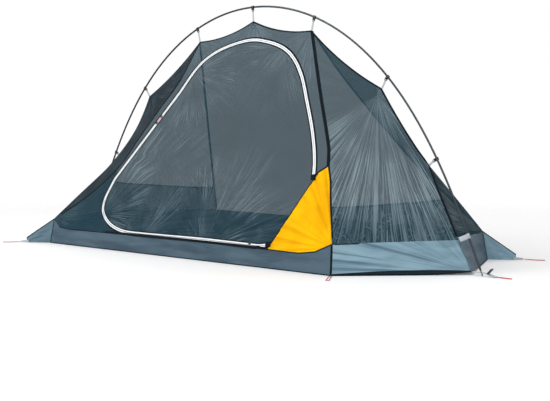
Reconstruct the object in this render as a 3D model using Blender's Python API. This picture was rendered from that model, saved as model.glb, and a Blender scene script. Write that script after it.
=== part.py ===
"""One-person trekking tent, inner tent only: a long arched pole carries a mesh canopy over a bathtub floor.

The row frame has +X along the tent towards its right end, +Y to the back and +Z up. The door faces -Y.
Corner letters run round the floor: A front left, B front right, C right end, D back right,
E back left, F left end. Canopy tips run 1 to 7 along the ridge, from the left end to the right end.
"""

import math

import bmesh
import bpy
import numpy as np
from mathutils import Matrix, Vector
from mathutils.geometry import delaunay_2d_cdt

# Pole: one bent aluminium tube in plug-together sections
pole_foot_x = 1.200
pole_apex_height = 1.130
pole_radius = 0.00425
pole_wall = 0.0008
pole_section_count = 7
pole_section_rings = 12
pole_sides = 10
ferrule_length = 0.030
ferrule_wall = 0.0009
tip_collar_length = 0.014
tip_pin_radius = 0.0025
tip_pin_length = 0.024
tip_spigot_length = 0.016
tip_chamfer = 0.0009
pin_ground_gap = 0.0002

# Floor plan, corner heights and the wall tops above the corners
corner_a = (-0.985, -0.435)
corner_b = (0.755, -0.385)
corner_d = (0.985, 0.435)
corner_e = (-0.670, 0.425)
end_corner_from_foot = 0.045
end_corner_lift = 0.012
lift_length = 0.165
# How far each wall top lies in from its floor corner along x and y, and its height
wall_lean_a = (0.025, 0.010, 0.125)
wall_lean_b = (-0.003, 0.010, 0.124)
wall_lean_end = (-0.061, 0.0, 0.133)
wall_lean_d = (-0.020, -0.010, 0.127)
wall_lean_e = (0.022, -0.010, 0.134)
# Scooped top edge of the front wall, as x and height
front_wall_scoop = [(-0.910, 0.094), (-0.850, 0.083), (-0.600, 0.083), (0.000, 0.084), (0.514, 0.081),
                    (0.628, 0.082), (0.694, 0.095)]

# How far each canopy tip hangs below the pole, its shift along it, and each ridge edge's cut between tips
tip_drops = [0.0394, 0.0539, 0.0640, 0.0630, 0.0575, 0.0523, 0.0439]
tip_shifts = [-0.0026, -0.0088, -0.0090, 0.0030, 0.0063, 0.0130, 0.0046]
ridge_sags = [0.016, 0.013, 0.019, 0.020, 0.018, 0.007]

# Curved seams between the panels: upper points as x and drop below the top tip, lower ones as x and height
seam_3_a_drops = [(-0.361, 0.259), (-0.430, 0.374), (-0.521, 0.530)]
seam_3_a_low = [(-0.607, 0.385), (-0.762, 0.247)]
seam_5_b_drops = [(0.498, 0.342)]
seam_5_b_low = [(0.621, 0.484), (0.688, 0.292)]
seam_5_d_drops = [(0.443, 0.259), (0.598, 0.496)]
seam_5_d_low = [(0.754, 0.360)]

# Door: the zip's middle line from the stow pocket's lower end, round to its upper end, as x and height
zip_line_bottom = [(0.400, 0.091), (0.060, 0.094), (-0.330, 0.092), (-0.450, 0.098), (-0.540, 0.122)]
zip_line_left = [(-0.596, 0.157), (-0.630, 0.205), (-0.622, 0.270)]
zip_straight_low = (-0.602, 0.333)
zip_line_right = [(0.509, 0.566), (0.560, 0.450)]
# The zip's upper part, as x and how far below the top tip
zip_straight_high_drop = (-0.335, 0.320)
zip_line_top_drops = [(-0.285, 0.229), (-0.228, 0.167), (-0.133, 0.120), (0.016, 0.091), (0.140, 0.109),
                      (0.236, 0.143), (0.312, 0.197), (0.380, 0.277), (0.435, 0.370)]
zip_half_width = 0.0070
zip_slit_half_width = 0.0009
zip_step = 0.055
zip_straight_step = 0.130
zip_thickness = 0.0012
# Stow pocket: its long edge is the door's hinge line
pocket_low = (0.440, 0.082)
pocket_bend = (0.592, 0.386)
pocket_high = (0.639, 0.417)
# Where the zip's two ends meet the hinge line, as shares of its length
zip_end_shares = (0.060, 0.930)
hinge_step = 0.060

# Cloth
mesh_thickness = 0.0005
cloth_thickness = 0.0006
seam_gap = 0.0003
longest_setback = 0.0015
weld_distance = 0.00002
edge_step = 0.075
corner_step = 0.0525
surround_count = 24
canopy_step = 0.105
floor_step = 0.300
wall_fold_step = 0.032
wall_fold_depth = 0.005
wall_fold_count = 2.1
wall_fold_slant = 0.35
end_pocket_height = (0.268, 0.298)
end_pocket_inset = 0.0192

# Clips that hold the canopy tips to the pole, by distance along the pole from its top
clip_stations = [-1.262, -0.852, -0.374, 0.0, 0.374, 0.852, 1.262]
clip_clearance = 0.0006
clip_wall = 0.0020
clip_arm = 0.0040
clip_width = 0.012
clip_stem = 0.0060
clip_stem_depth = 0.0040
clip_arc_points = 9
strap_width = 0.010
strap_thickness = 0.0008
strap_clearance = 0.0001

# Zip sliders and their pulls
slider_length = 0.013
slider_width = 0.010
slider_plate = 0.0012
slider_post = 0.0010
slider_spacing = 0.038
slider_from_top = 0.150
pull_length = 0.034
pull_width = 0.0076
pull_radius = 0.0009
pull_clearance = 0.0006

# Low webbing tabs, foot straps with their eyelets, and fly buckles
low_tab_width = 0.020
tab_wall = 0.0012
tab_lift = 0.0008
webbing_width = 0.024
webbing_thickness = 0.0012
foot_strap_tail = 0.062
strap_corner_gap = 0.0002
strap_end_height = 0.0010
pivot_height = 0.013
eyelet_radius = 0.0064
eyelet_sides = 16
eyelet_margin = 0.012
buckle_length = 0.028
buckle_width = 0.018
buckle_thickness = 0.0045
buckle_from_foot = 0.030
buckle_tilt = 48.0
# Half outline of the plug: web bar, side prong, middle prong, as shares of its length and half width
buckle_outline = [(0.00, 1.00), (0.38, 1.00), (0.80, 1.11), (1.00, 0.62), (0.72, 0.62), (0.49, 0.52),
                  (0.49, 0.22), (0.90, 0.16)]

# Beaks at two corners, and the staking loops
loop_cord_radius = 0.00125
loop_turn_radius = 0.0054
ground_clearance = 0.0003
end_loop_length = 0.060
corner_loop_length = 0.095
side_loop_length = 0.120
side_loop_heading = (0.081, 0.132)
side_loop_gap = 0.0002
loop_start_spread = 0.0015
loop_opening_rate = 1.2
cord_point_spacing = 2.5
cord_bevel_resolution = 2
beak_length = 0.122
beak_angle = 35.0
beak_root_gap = 0.0006
beak_low = 0.0010
beak_tip_high = 0.027
beak_middle_share = 0.45
beak_middle_rise = 0.54
beak_thickness = 0.0012
tab_length = 0.028
tab_end_height = 0.010
tab_loop_height = 0.005

inside_point = np.array([0.0, 0.0, 0.35])


def clear_scene():
    for item in list(bpy.data.objects):
        bpy.data.objects.remove(item, do_unlink=True)


def material(name, colour, roughness, metallic=0.0):
    found = bpy.data.materials.get(name)
    if found:
        return found
    made = bpy.data.materials.new(name)
    made.use_nodes = True
    shader = made.node_tree.nodes["Principled BSDF"]
    shader.inputs["Base Color"].default_value = (*colour, 1.0)
    shader.inputs["Roughness"].default_value = roughness
    shader.inputs["Metallic"].default_value = metallic
    return made


def finishes(name):
    table = {
        "netting": ((0.045, 0.070, 0.085), 0.75, 0.0),
        "slate_cloth": ((0.085, 0.130, 0.165), 0.55, 0.0),
        "pale_cloth": ((0.290, 0.440, 0.520), 0.55, 0.0),
        "floor_cloth": ((0.020, 0.024, 0.028), 0.50, 0.0),
        "pocket_cloth": ((1.000, 0.560, 0.010), 0.55, 0.0),
        "reflective_zip": ((0.850, 0.870, 0.880), 0.35, 0.0),
        "pole_metal": ((0.115, 0.120, 0.130), 0.30, 1.0),
        "black_plastic": ((0.012, 0.012, 0.014), 0.45, 0.0),
        "grey_webbing": ((0.460, 0.490, 0.510), 0.80, 0.0),
        "red_cord": ((0.700, 0.050, 0.070), 0.70, 0.0),
    }
    colour, roughness, metallic = table[name]
    return material(name, colour, roughness, metallic)


def add_object(name, vertices, faces, finish, origin=(0.0, 0.0, 0.0)):
    """A mesh object whose origin sits at the given world point."""
    mesh = bpy.data.meshes.new(name)
    base = np.array(origin)
    mesh.from_pydata([tuple(np.array(v) - base) for v in vertices], [], [tuple(f) for f in faces])
    mesh.update()
    mesh.materials.append(finishes(finish))
    made = bpy.data.objects.new(name, mesh)
    made.location = origin
    bpy.context.scene.collection.objects.link(made)
    return made


def unit(vector):
    return vector / np.linalg.norm(vector)


# The bent pole: a straight springy rod, pushed together until its top is at the wanted height


def rod_shape(modulus, steps=400):
    """Half of a bent rod of length 1, from its top to its foot: distance, x and height."""
    quarter = np.linspace(0.0, math.pi / 2, steps + 1)
    weight = 1.0 / np.sqrt(1.0 - (modulus * np.sin(quarter)) ** 2)
    length = np.concatenate([[0.0], np.cumsum((weight[1:] + weight[:-1]) / 2 * np.diff(quarter))])
    reach_rate = (1.0 - 2.0 * (modulus * np.sin(quarter)) ** 2) * weight
    reach = np.concatenate([[0.0], np.cumsum((reach_rate[1:] + reach_rate[:-1]) / 2 * np.diff(quarter))])
    height = modulus * np.cos(quarter)
    full = 2.0 * length[-1]
    return length / full, reach / full, 2.0 * height / full


def solve_pole():
    low, high = 0.05, 0.85
    for _ in range(60):
        middle = (low + high) / 2
        distance, reach, height = rod_shape(middle)
        if height[0] / reach[-1] < pole_apex_height / pole_foot_x:
            low = middle
        else:
            high = middle
    distance, reach, height = rod_shape((low + high) / 2)
    scale = pole_foot_x / reach[-1]
    return distance * scale, reach * scale, height * scale


pole_distance, pole_reach, pole_height = solve_pole()
pole_half_length = pole_distance[-1]


def pole_point(station):
    side = math.copysign(1.0, station) if station else 1.0
    x = np.interp(abs(station), pole_distance, pole_reach) * side
    return np.array([x, 0.0, np.interp(abs(station), pole_distance, pole_height)])


def pole_direction(station):
    step = 0.004
    ahead = pole_point(min(station + step, pole_half_length))
    behind = pole_point(max(station - step, -pole_half_length))
    return unit(ahead - behind)


def pole_outward(station):
    """Across the pole, in its plane, away from the canopy."""
    along = pole_direction(station)
    return np.array([-along[2], 0.0, along[0]])


def ring_points(centre, across, out, radius, sides):
    turn = [2 * math.pi * (i + 0.5) / sides for i in range(sides)]
    return [centre + radius * (math.cos(a) * across + math.sin(a) * out) for a in turn]


def turned(profile, sides):
    """A solid turned about the pole's curve. The profile is a closed ring of (distance along, radius)."""
    across = np.array([0.0, 1.0, 0.0])
    vertices, faces = [], []
    for station, radius in profile:
        vertices += ring_points(pole_point(station), across, pole_outward(station), radius, sides)
    for i in range(len(profile)):
        k = (i + 1) % len(profile)
        for j in range(sides):
            following = (j + 1) % sides
            faces.append((i * sides + j, i * sides + following, k * sides + following, k * sides + j))
    return vertices, faces


def turn_faces_out(item):
    work = bmesh.new()
    work.from_mesh(item.data)
    bmesh.ops.recalc_face_normals(work, faces=work.faces)
    work.to_mesh(item.data)
    work.free()


pole_bore = pole_radius - pole_wall
spigot_radius = pole_bore - seam_gap
section_ends = pole_half_length - tip_collar_length - tip_pin_length
foot_point = pole_point(pole_half_length)
foot_lean = pole_direction(pole_half_length)
pivot_x = float(np.interp(-pivot_height, -pole_height, pole_reach))
pivot_point = (0.0, 0.0, pivot_height)


def pole_sections():
    """Each section carries its own ferrule, which plugs into the next section's bore."""
    length = 2 * section_ends / pole_section_count
    for i in range(pole_section_count):
        start = -section_ends + i * length + seam_gap / 2
        stop = start + length - seam_gap
        middle = np.linspace(start + ferrule_length, stop - ferrule_length, pole_section_rings)
        along = [start, *middle, stop]
        profile = [(s, pole_radius) for s in along]
        if i < pole_section_count - 1:
            profile += [
                (stop, spigot_radius),
                (stop + ferrule_length, spigot_radius),
                (stop + ferrule_length, spigot_radius - ferrule_wall),
                (stop - ferrule_length, spigot_radius - ferrule_wall),
            ]
            along = along[:-1]
        profile += [(s, pole_bore) for s in reversed(along)]
        made = add_object(f"pole_section_{i + 1}", *turned(profile, pole_sides), "pole_metal", pivot_point)
        turn_faces_out(made)
        made.data.set_sharp_from_angle(angle=math.radians(50))


def pole_tips():
    """A spigot in the last section, a collar as wide as the pole and a pin in the foot strap's eyelet."""
    pin_end = pole_half_length - tip_pin_radius * abs(foot_lean[0] / foot_lean[2]) - pin_ground_gap
    collar_end = section_ends + tip_collar_length
    profile = [
        (section_ends - tip_spigot_length, spigot_radius),
        (section_ends + seam_gap, spigot_radius),
        (section_ends + seam_gap, pole_radius),
        (collar_end - tip_chamfer, pole_radius),
        (collar_end, pole_radius - tip_chamfer),
        (collar_end, tip_pin_radius),
        (pin_end - tip_chamfer, tip_pin_radius),
        (pin_end, tip_pin_radius - tip_chamfer),
    ]
    for side, word in ((-1, "left"), (1, "right")):
        vertices, faces = turned([(side * s, r) for s, r in profile], pole_sides)
        last = (len(profile) - 1) * pole_sides
        faces = faces[:-pole_sides]
        faces.append(tuple(reversed(range(pole_sides))))
        faces.append(tuple(last + j for j in range(pole_sides)))
        turn_faces_out(add_object(f"pole_tip_{word}", vertices, faces, "black_plastic", pivot_point))


# Lines that the cloth panels share


def resampled(points, step):
    points = np.array(points, dtype=float)
    lengths = np.concatenate([[0.0], np.cumsum(np.linalg.norm(np.diff(points, axis=0), axis=1))])
    count = max(1, round(lengths[-1] / step))
    wanted = np.linspace(0.0, lengths[-1], count + 1)
    return np.stack([np.interp(wanted, lengths, points[:, i]) for i in range(points.shape[1])], axis=1)


def smooth_line(points, step, keep=None):
    """A smooth curve through the points, with a point about every step and one at the place to keep."""
    points = np.array(points, dtype=float)
    if len(points) > 2:
        ends = [2 * points[0] - points[1], *points, 2 * points[-1] - points[-2]]
        fine = [points[0]]
        for i in range(1, len(ends) - 2):
            before, start, stop, after = ends[i - 1], ends[i], ends[i + 1], ends[i + 2]
            for t in np.linspace(0.1, 1.0, 10):
                fine.append(0.5 * (
                    2 * start
                    + (stop - before) * t
                    + (2 * before - 5 * start + 4 * stop - after) * t**2
                    + (3 * start - before - 3 * stop + after) * t**3
                ))
        points = np.array(fine)
    if keep is None:
        return resampled(points, step)
    split = int(np.argmin(np.linalg.norm(points - np.array(keep), axis=1)))
    points[split] = keep
    return np.vstack([resampled(points[:split + 1], step)[:-1], resampled(points[split:], step)])


def cut_in_edge(start, stop, sag, step):
    """A ridge edge between two tips, cut in towards the tent between them."""
    start, stop = np.array(start), np.array(stop)
    along = unit(stop - start)
    inward = np.array([along[2], 0.0, -along[0]])
    fine = [start + (stop - start) * t + inward * sag * 4 * t * (1 - t) for t in np.linspace(0, 1, 21)]
    return resampled(fine, step)


end_corner_x = pole_foot_x - end_corner_from_foot
foot_strap_end_x = pole_foot_x + foot_strap_tail


def canopy_tip(index):
    """A tip hangs from its clip, square to the pole but for a small shift along it."""
    station = clip_stations[index]
    drop = pole_outward(station) * tip_drops[index]
    return pole_point(station) - drop + pole_direction(station) * tip_shifts[index]


def below_top(point):
    """A place given as x and its drop below the top tip, as x and height."""
    return (point[0], tips[3][2] - point[1])


def leaning(corner, lean):
    return (corner[0] + lean[0], corner[1] + lean[1], lean[2])


tips = [canopy_tip(i) for i in range(len(clip_stations))]
zip_straight_high = below_top(zip_straight_high_drop)
zip_line_top = [below_top(point) for point in zip_line_top_drops]
seam_3_a = [below_top(point) for point in seam_3_a_drops] + seam_3_a_low
seam_5_b = [below_top(point) for point in seam_5_b_drops] + seam_5_b_low
seam_5_d = [below_top(point) for point in seam_5_d_drops] + seam_5_d_low
wall_top_a = leaning(corner_a, wall_lean_a)
wall_top_b = leaning(corner_b, wall_lean_b)
wall_top_c = leaning((end_corner_x, 0.0), wall_lean_end)
wall_top_d = leaning(corner_d, wall_lean_d)
wall_top_e = leaning(corner_e, wall_lean_e)


def floor_height(x):
    beyond = max(0.0, abs(x) - end_corner_x + lift_length)
    return end_corner_lift * (beyond / lift_length) ** 2


def on_floor(x, y):
    return (x, y, floor_height(x))


front_normal = unit(np.cross(
    np.array(wall_top_b) - np.array(wall_top_a), tips[3] - np.array(wall_top_a)
))


def on_front(x, height):
    """The point of the door's plane with this x and height."""
    base = np.array(wall_top_a)
    y = base[1] - ((x - base[0]) * front_normal[0] + (height - base[2]) * front_normal[2]) / front_normal[1]
    return (x, y, height)


# The door turns about the stow pocket's long edge
hinge_low, hinge_high = on_front(*pocket_low), on_front(*pocket_bend)


def on_right_back(x, height):
    """The point of the plane through tip 5 and the wall top at D, level along x."""
    share = (tips[4][2] - height) / (tips[4][2] - wall_top_d[2])
    return (x, wall_top_d[1] * share, height)


low = {
    "A": on_floor(*corner_a),
    "B": on_floor(*corner_b),
    "C": on_floor(end_corner_x, 0.0),
    "D": on_floor(*corner_d),
    "E": on_floor(*corner_e),
    "F": on_floor(-end_corner_x, 0.0),
}
wall_top_f = (-wall_top_c[0], wall_top_c[1], wall_top_c[2])
top = {
    "A": wall_top_a, "B": wall_top_b, "C": wall_top_c, "D": wall_top_d, "E": wall_top_e, "F": wall_top_f
}
corner_order = "ABCDEF"
lines = {}


def make_lines():
    for first, second in zip(corner_order, corner_order[1:] + corner_order[0]):
        start, stop = np.array(low[first]), np.array(low[second])
        count = max(1, round(np.linalg.norm(stop - start) / edge_step))
        straight = [start + (stop - start) * i / count for i in range(count + 1)]
        lines[f"low_{first}{second}"] = np.array([on_floor(p[0], p[1]) for p in straight])
        if first == "A":
            scoop = [top["A"]] + [on_front(x, z) for x, z in front_wall_scoop] + [top["B"]]
            lines["top_AB"] = smooth_line(scoop, edge_step, on_front(*pocket_low))
        else:
            lines[f"top_{first}{second}"] = resampled([top[first], top[second]], edge_step)
        lines[f"corner_{first}"] = resampled([low[first], top[first]], corner_step)
    for i, sag in enumerate(ridge_sags):
        lines[f"ridge_{i + 1}"] = cut_in_edge(tips[i], tips[i + 1], sag, edge_step)
    lines["ridge_F"] = resampled([tips[0], top["F"]], edge_step)
    lines["ridge_C"] = resampled([tips[6], top["C"]], edge_step)
    lines["seam_A"] = smooth_line([tips[2]] + [on_front(x, z) for x, z in seam_3_a] + [top["A"]], edge_step)
    seam_b = [tips[4]] + [on_front(x, z) for x, z in seam_5_b] + [top["B"]]
    lines["seam_B"] = smooth_line(seam_b, edge_step, on_front(*pocket_high))
    seam_d = [tips[4]] + [on_right_back(x, z) for x, z in seam_5_d] + [top["D"]]
    lines["seam_D"] = smooth_line(seam_d, edge_step)
    lines["seam_E"] = resampled([tips[2], top["E"]], edge_step)
    lines["crease_A"] = resampled([tips[0], top["A"]], edge_step)
    lines["crease_D"] = resampled([tips[6], top["D"]], edge_step)


def loop_of(*names):
    """One closed outline from the shared lines. A name that starts with - runs backwards."""
    points = []
    for name in names:
        part = lines[name.lstrip("-")]
        if name.startswith("-"):
            part = part[::-1]
        points += list(part[:-1])
    return np.array(points)


# Flat working plane of a panel, and the panel's triangles


def plane_of(points, normal=None, through=None):
    """Origin, two axes and normal of the panel's plane. The normal points out of the tent."""
    centre = points.mean(axis=0)
    if through is not None:
        centre = centre - normal * np.dot(centre - np.array(through), normal)
    if normal is None:
        normal = np.linalg.svd(points - centre)[2][2]
    if np.dot(normal, centre - inside_point) < 0:
        normal = -normal
    first = np.cross([0.0, 0.0, 1.0], normal)
    if np.linalg.norm(first) < 1e-3:
        first = np.array([1.0, 0.0, 0.0])
    first = unit(first)
    return centre, first, np.cross(normal, first), normal


def flat(plane, points):
    centre, first, second, _ = plane
    offset = np.atleast_2d(points) - centre
    return np.stack([offset @ first, offset @ second], axis=1)


def depth_over(plane, points):
    return (np.atleast_2d(points) - plane[0]) @ plane[3]


def inside(polygon, point):
    x, y = point
    ax, ay = polygon[:, 0], polygon[:, 1]
    bx, by = np.roll(ax, -1), np.roll(ay, -1)
    crosses = (ay > y) != (by > y)
    with np.errstate(divide="ignore", invalid="ignore"):
        at = ax + (y - ay) * (bx - ax) / (by - ay)
    return bool(np.count_nonzero(crosses & (x < at)) % 2)


def distance_to(lines_2d, point):
    best = 1e9
    for line in lines_2d:
        start, stop = line[:-1], line[1:]
        span = stop - start
        share = np.clip(((point - start) * span).sum(1) / np.maximum((span**2).sum(1), 1e-12), 0, 1)
        best = min(best, np.linalg.norm(start + span * share[:, None] - point, axis=1).min())
    return best


def triangulate(outline, inner_lines, step):
    """Triangles that fill a flat outline and keep every inner line as an edge."""
    closed = np.vstack([outline, outline[:1]])
    borders = [closed] + inner_lines
    low_corner, high_corner = outline.min(axis=0), outline.max(axis=0)
    grid = []
    rows = int((high_corner[1] - low_corner[1]) / (step * 0.866)) + 2
    columns = int((high_corner[0] - low_corner[0]) / step) + 2
    for i in range(rows):
        for j in range(columns):
            point = low_corner + np.array([(j + 0.5 * (i % 2)) * step, i * step * 0.866])
            if inside(outline, point) and distance_to(borders, point) > 0.45 * step:
                grid.append(point)
    points = [tuple(p) for p in outline]
    edges = [(i, (i + 1) % len(outline)) for i in range(len(outline))]
    for line in inner_lines:
        start = len(points)
        points += [tuple(p) for p in line]
        edges += [(start + i, start + i + 1) for i in range(len(line) - 1)]
    points += [tuple(p) for p in grid]
    middle, reach = (low_corner + high_corner) / 2, np.linalg.norm(high_corner - low_corner)
    turns = [2 * math.pi * i / surround_count for i in range(surround_count)]
    points += [(middle[0] + reach * math.cos(a), middle[1] + reach * math.sin(a)) for a in turns]
    found = delaunay_2d_cdt([Vector(p) for p in points], edges, [], 0, 1e-6)
    flat_points = np.array([tuple(p) for p in found[0]])
    triangles = []
    for face in found[2]:
        corners = flat_points[list(face)]
        if not inside(outline, corners.mean(axis=0)):
            continue
        area = np.cross(corners[1] - corners[0], corners[2] - corners[0])
        triangles.append(tuple(face) if area > 0 else tuple(reversed(face)))
    used = sorted({i for face in triangles for i in face})
    renumber = {old: new for new, old in enumerate(used)}
    return flat_points[used], np.array([[renumber[i] for i in face] for face in triangles])


def stretched(points, triangles, fixed):
    """Depths of a tight skin over the plane. fixed holds the depths that the borders set."""
    count = len(points)
    weights = np.zeros((count, count))
    for triangle in triangles:
        for i in range(3):
            a, b, c = triangle[i], triangle[(i + 1) % 3], triangle[(i + 2) % 3]
            first, second = points[a] - points[c], points[b] - points[c]
            cotangent = np.dot(first, second) / max(abs(np.cross(first, second)), 1e-12)
            weights[a, b] += max(cotangent, 0.05) / 2
            weights[b, a] += max(cotangent, 0.05) / 2
    matrix = np.diag(weights.sum(axis=1)) - weights
    depth = np.zeros(count)
    known = np.array(sorted(fixed), dtype=int)
    depth[known] = [fixed[i] for i in known]
    unknown = np.array([i for i in range(count) if i not in fixed], dtype=int)
    if len(unknown):
        right = -matrix[np.ix_(unknown, known)] @ depth[known]
        depth[unknown] = np.linalg.solve(matrix[np.ix_(unknown, unknown)], right)
    return depth


def border_depths(flat_points, plane, borders):
    """Depth at each vertex that lies on a border line, by interpolation along that line."""
    fixed = {}
    for line in borders:
        line_flat, line_depth = flat(plane, line), depth_over(plane, line)
        for i, point in enumerate(flat_points):
            start, span = line_flat[:-1], np.diff(line_flat, axis=0)
            share = np.clip(((point - start) * span).sum(1) / np.maximum((span**2).sum(1), 1e-12), 0, 1)
            gaps = np.linalg.norm(start + span * share[:, None] - point, axis=1)
            best = int(gaps.argmin())
            if gaps[best] < 2e-6:
                fixed[i] = line_depth[best] + (line_depth[best + 1] - line_depth[best]) * share[best]
    return fixed


def panel(outline, creases=(), flat_lines=(), step=canopy_step, normal=None, through=None, bulge=None):
    """A cloth panel as world points and triangles. Creases keep their shape, flat lines follow the skin."""
    plane = plane_of(outline, normal, through)
    inner = [flat(plane, line) for line in list(creases) + list(flat_lines)]
    outline_flat = flat(plane, outline)
    flat_points, triangles = triangulate(outline_flat, inner, step)
    closed = np.vstack([outline, outline[:1]])
    fixed = border_depths(flat_points, plane, [closed] + list(creases))
    depth = stretched(flat_points, triangles, fixed)
    centre, first, second, out = plane
    points = centre + flat_points[:, :1] * first + flat_points[:, 1:] * second + depth[:, None] * out
    if bulge is not None:
        free = np.array([i not in fixed for i in range(len(points))])
        lift = np.array([bulge(p) for p in points]) * free
        points = points + lift[:, None] * out
    return points, triangles, plane


# Turning panels into thin solids that meet at mitred seams

regions = []


def add_region(name, points, triangles, finish, thickness, origin=(0.0, 0.0, 0.0)):
    used = sorted(set(np.array(triangles).ravel()))
    renumber = {old: new for new, old in enumerate(used)}
    faces = [tuple(renumber[i] for i in face) for face in triangles]
    shared = np.vstack(list(lines.values()))
    placed = points[used].copy()
    for i, point in enumerate(placed):
        gaps = np.linalg.norm(shared - point, axis=1)
        if gaps.min() < weld_distance:
            placed[i] = shared[gaps.argmin()]
    regions.append((name, placed, faces, finish, thickness, origin))


def vertex_normals(points, faces):
    normals = np.zeros_like(points)
    for face in faces:
        a, b, c = points[list(face)]
        normals[list(face)] += np.cross(b - a, c - a)
    lengths = np.linalg.norm(normals, axis=1)
    return normals / np.maximum(lengths, 1e-15)[:, None]


def seam_key(point):
    return tuple(np.round(point, 5) + 0.0)


def build_regions():
    """Every region becomes a closed solid. At a seam both neighbours end on one mitre plane, a gap apart."""
    shared = {}
    all_normals = []
    for _, points, faces, _, _, _ in regions:
        normals = vertex_normals(points, faces)
        all_normals.append(normals)
        for point, normal in zip(points, normals):
            key = seam_key(point)
            shared[key] = shared.get(key, np.zeros(3)) + normal
    for (name, points, faces, finish, thickness, origin), normals in zip(regions, all_normals):
        edge_count = {}
        for face in faces:
            for i in range(3):
                a, b = face[i], face[(i + 1) % 3]
                edge_count[(a, b)] = True
        border = [(a, b) for (a, b) in edge_count if (b, a) not in edge_count]
        after = {a: b for a, b in border}
        before = {b: a for a, b in border}
        outer, depth_way = points.copy(), -normals.copy()
        for i in after:
            mitre = unit(shared[seam_key(points[i])])
            walls = []
            for a, b in ((before[i], i), (i, after[i])):
                across = np.cross(unit(points[b] - points[a]), mitre)
                walls.append(-unit(across) if np.linalg.norm(across) > 1e-9 else np.zeros(3))
            side = unit(np.cross(normals[i], walls[0]))
            basis = np.stack([unit(np.cross(side, normals[i])), side])
            system = np.array([[np.dot(w, e) for e in basis] for w in walls])
            move = np.linalg.pinv(system, rcond=0.15) @ np.array([seam_gap / 2, seam_gap / 2])
            length = np.linalg.norm(move)
            if length > longest_setback:
                move *= longest_setback / length
            outer[i] = points[i] + basis.T @ move
            depth_way[i] = -mitre
        inner = outer + depth_way * thickness
        count = len(points)
        solid = list(faces) + [(c + count, b + count, a + count) for a, b, c in faces]
        for a, b in border:
            solid += [(b, a, a + count), (b, a + count, b + count)]
        add_object(name, list(outer) + list(inner), solid, finish, origin)


def canopy_and_walls():
    front_panel()
    points, faces, plane = panel(loop_of("top_BC", "-ridge_C", "-ridge_6", "-ridge_5", "seam_B"),
                                 flat_lines=[end_pocket_line("B", "C", "seam_B", "ridge_C")])
    add_region("right_end_mesh", points, faces, "netting", mesh_thickness)
    end_pocket("end_pocket_right", points, faces, plane, end_pocket_line("B", "C", "seam_B", "ridge_C"))
    points, faces, plane = panel(loop_of("top_EF", "-ridge_F", "ridge_1", "ridge_2", "seam_E"),
                                 flat_lines=[end_pocket_line("E", "F", "seam_E", "ridge_F")])
    add_region("left_end_mesh", points, faces, "netting", mesh_thickness)
    end_pocket("end_pocket_left", points, faces, plane, end_pocket_line("E", "F", "seam_E", "ridge_F"))
    points, faces, _ = panel(loop_of("top_CD", "-seam_D", "ridge_5", "ridge_6", "ridge_C"),
                             creases=[lines["crease_D"]])
    add_region("right_back_mesh", points, faces, "netting", mesh_thickness)
    points, faces, _ = panel(loop_of("top_FA", "-seam_A", "-ridge_2", "-ridge_1", "ridge_F"),
                             creases=[lines["crease_A"]])
    add_region("left_front_mesh", points, faces, "netting", mesh_thickness)
    points, faces, _ = panel(loop_of("top_DE", "-seam_E", "ridge_3", "ridge_4", "seam_D"))
    add_region("back_mesh", points, faces, "netting", mesh_thickness)
    walls = {
        "AB": ("front", "slate_cloth"), "BC": ("right", "pale_cloth"), "CD": ("right_back", "slate_cloth"),
        "DE": ("back", "slate_cloth"), "EF": ("left", "pale_cloth"), "FA": ("left_front", "slate_cloth"),
    }
    for pair, (word, finish) in walls.items():
        outline = loop_of(f"low_{pair}", f"corner_{pair[1]}", f"-top_{pair}", f"-corner_{pair[0]}")
        folds = wall_folds(pair) if finish == "pale_cloth" else None
        step = wall_fold_step if folds else canopy_step
        points, faces, _ = panel(outline, step=step, bulge=folds)
        add_region(f"tub_wall_{word}", points, faces, finish, cloth_thickness)
    outline = loop_of("low_AB", "low_BC", "low_CD", "low_DE", "low_EF", "low_FA")
    points, faces, _ = panel(outline[::-1], step=floor_step, normal=np.array([0.0, 0.0, -1.0]))
    points[:, 2] = [floor_height(p[0]) for p in points]
    add_region("floor_sheet", points, faces, "floor_cloth", cloth_thickness)


def wall_folds(pair):
    """The end walls are slack and hang in long level folds."""
    start, stop = np.array(low[pair[0]]), np.array(low[pair[1]])
    along = unit(stop - start)
    length = np.linalg.norm(stop - start)

    def lift(point):
        share = np.dot(point - start, along) / length
        height = point[2] / wall_top_c[2]
        window = math.sin(math.pi * min(max(share, 0.0), 1.0)) ** 0.5
        return wall_fold_depth * window * math.sin(
            2 * math.pi * (wall_fold_count * height + wall_fold_slant * share)
        )

    return lift


def point_at_height(line, height):
    line = lines[line]
    order = np.argsort(line[:, 2])
    return np.array([np.interp(height, line[order, 2], line[order, i]) for i in range(3)])


def end_pocket_line(first, second, first_seam, second_seam):
    """Closed outline of the low pocket inside an end panel, a margin in from the panel's borders."""
    corners = np.array([
        top[first],
        top[second],
        point_at_height(second_seam, end_pocket_height[1]),
        point_at_height(first_seam, end_pocket_height[0]),
    ])
    middle = corners.mean(axis=0)
    shrunk = [c + unit(middle - c) * end_pocket_inset for c in corners]
    shrunk.append(shrunk[0])
    return np.vstack([resampled(shrunk[i:i + 2], edge_step)[:-1] for i in range(4)] + [shrunk[0]])


def end_pocket(name, points, faces, plane, outline):
    """The pocket is the part of the panel inside its outline, one gap further in."""
    polygon = flat(plane, outline)[:-1]
    normals = vertex_normals(points, faces)
    chosen = [f for f in faces if inside(polygon, flat(plane, points[list(f)].mean(axis=0))[0])]
    moved = points - normals * (mesh_thickness + seam_gap)
    add_region(name, moved, chosen, "netting", mesh_thickness)


# The front panel: netting, zip tapes, door and stow pocket, cut from one surface


def zip_points():
    return (
        [pocket_cross(zip_end_shares[0])] + zip_line_bottom + zip_line_left + [zip_straight_low],
        [zip_straight_high] + zip_line_top + zip_line_right + [pocket_cross(zip_end_shares[1])],
    )


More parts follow.
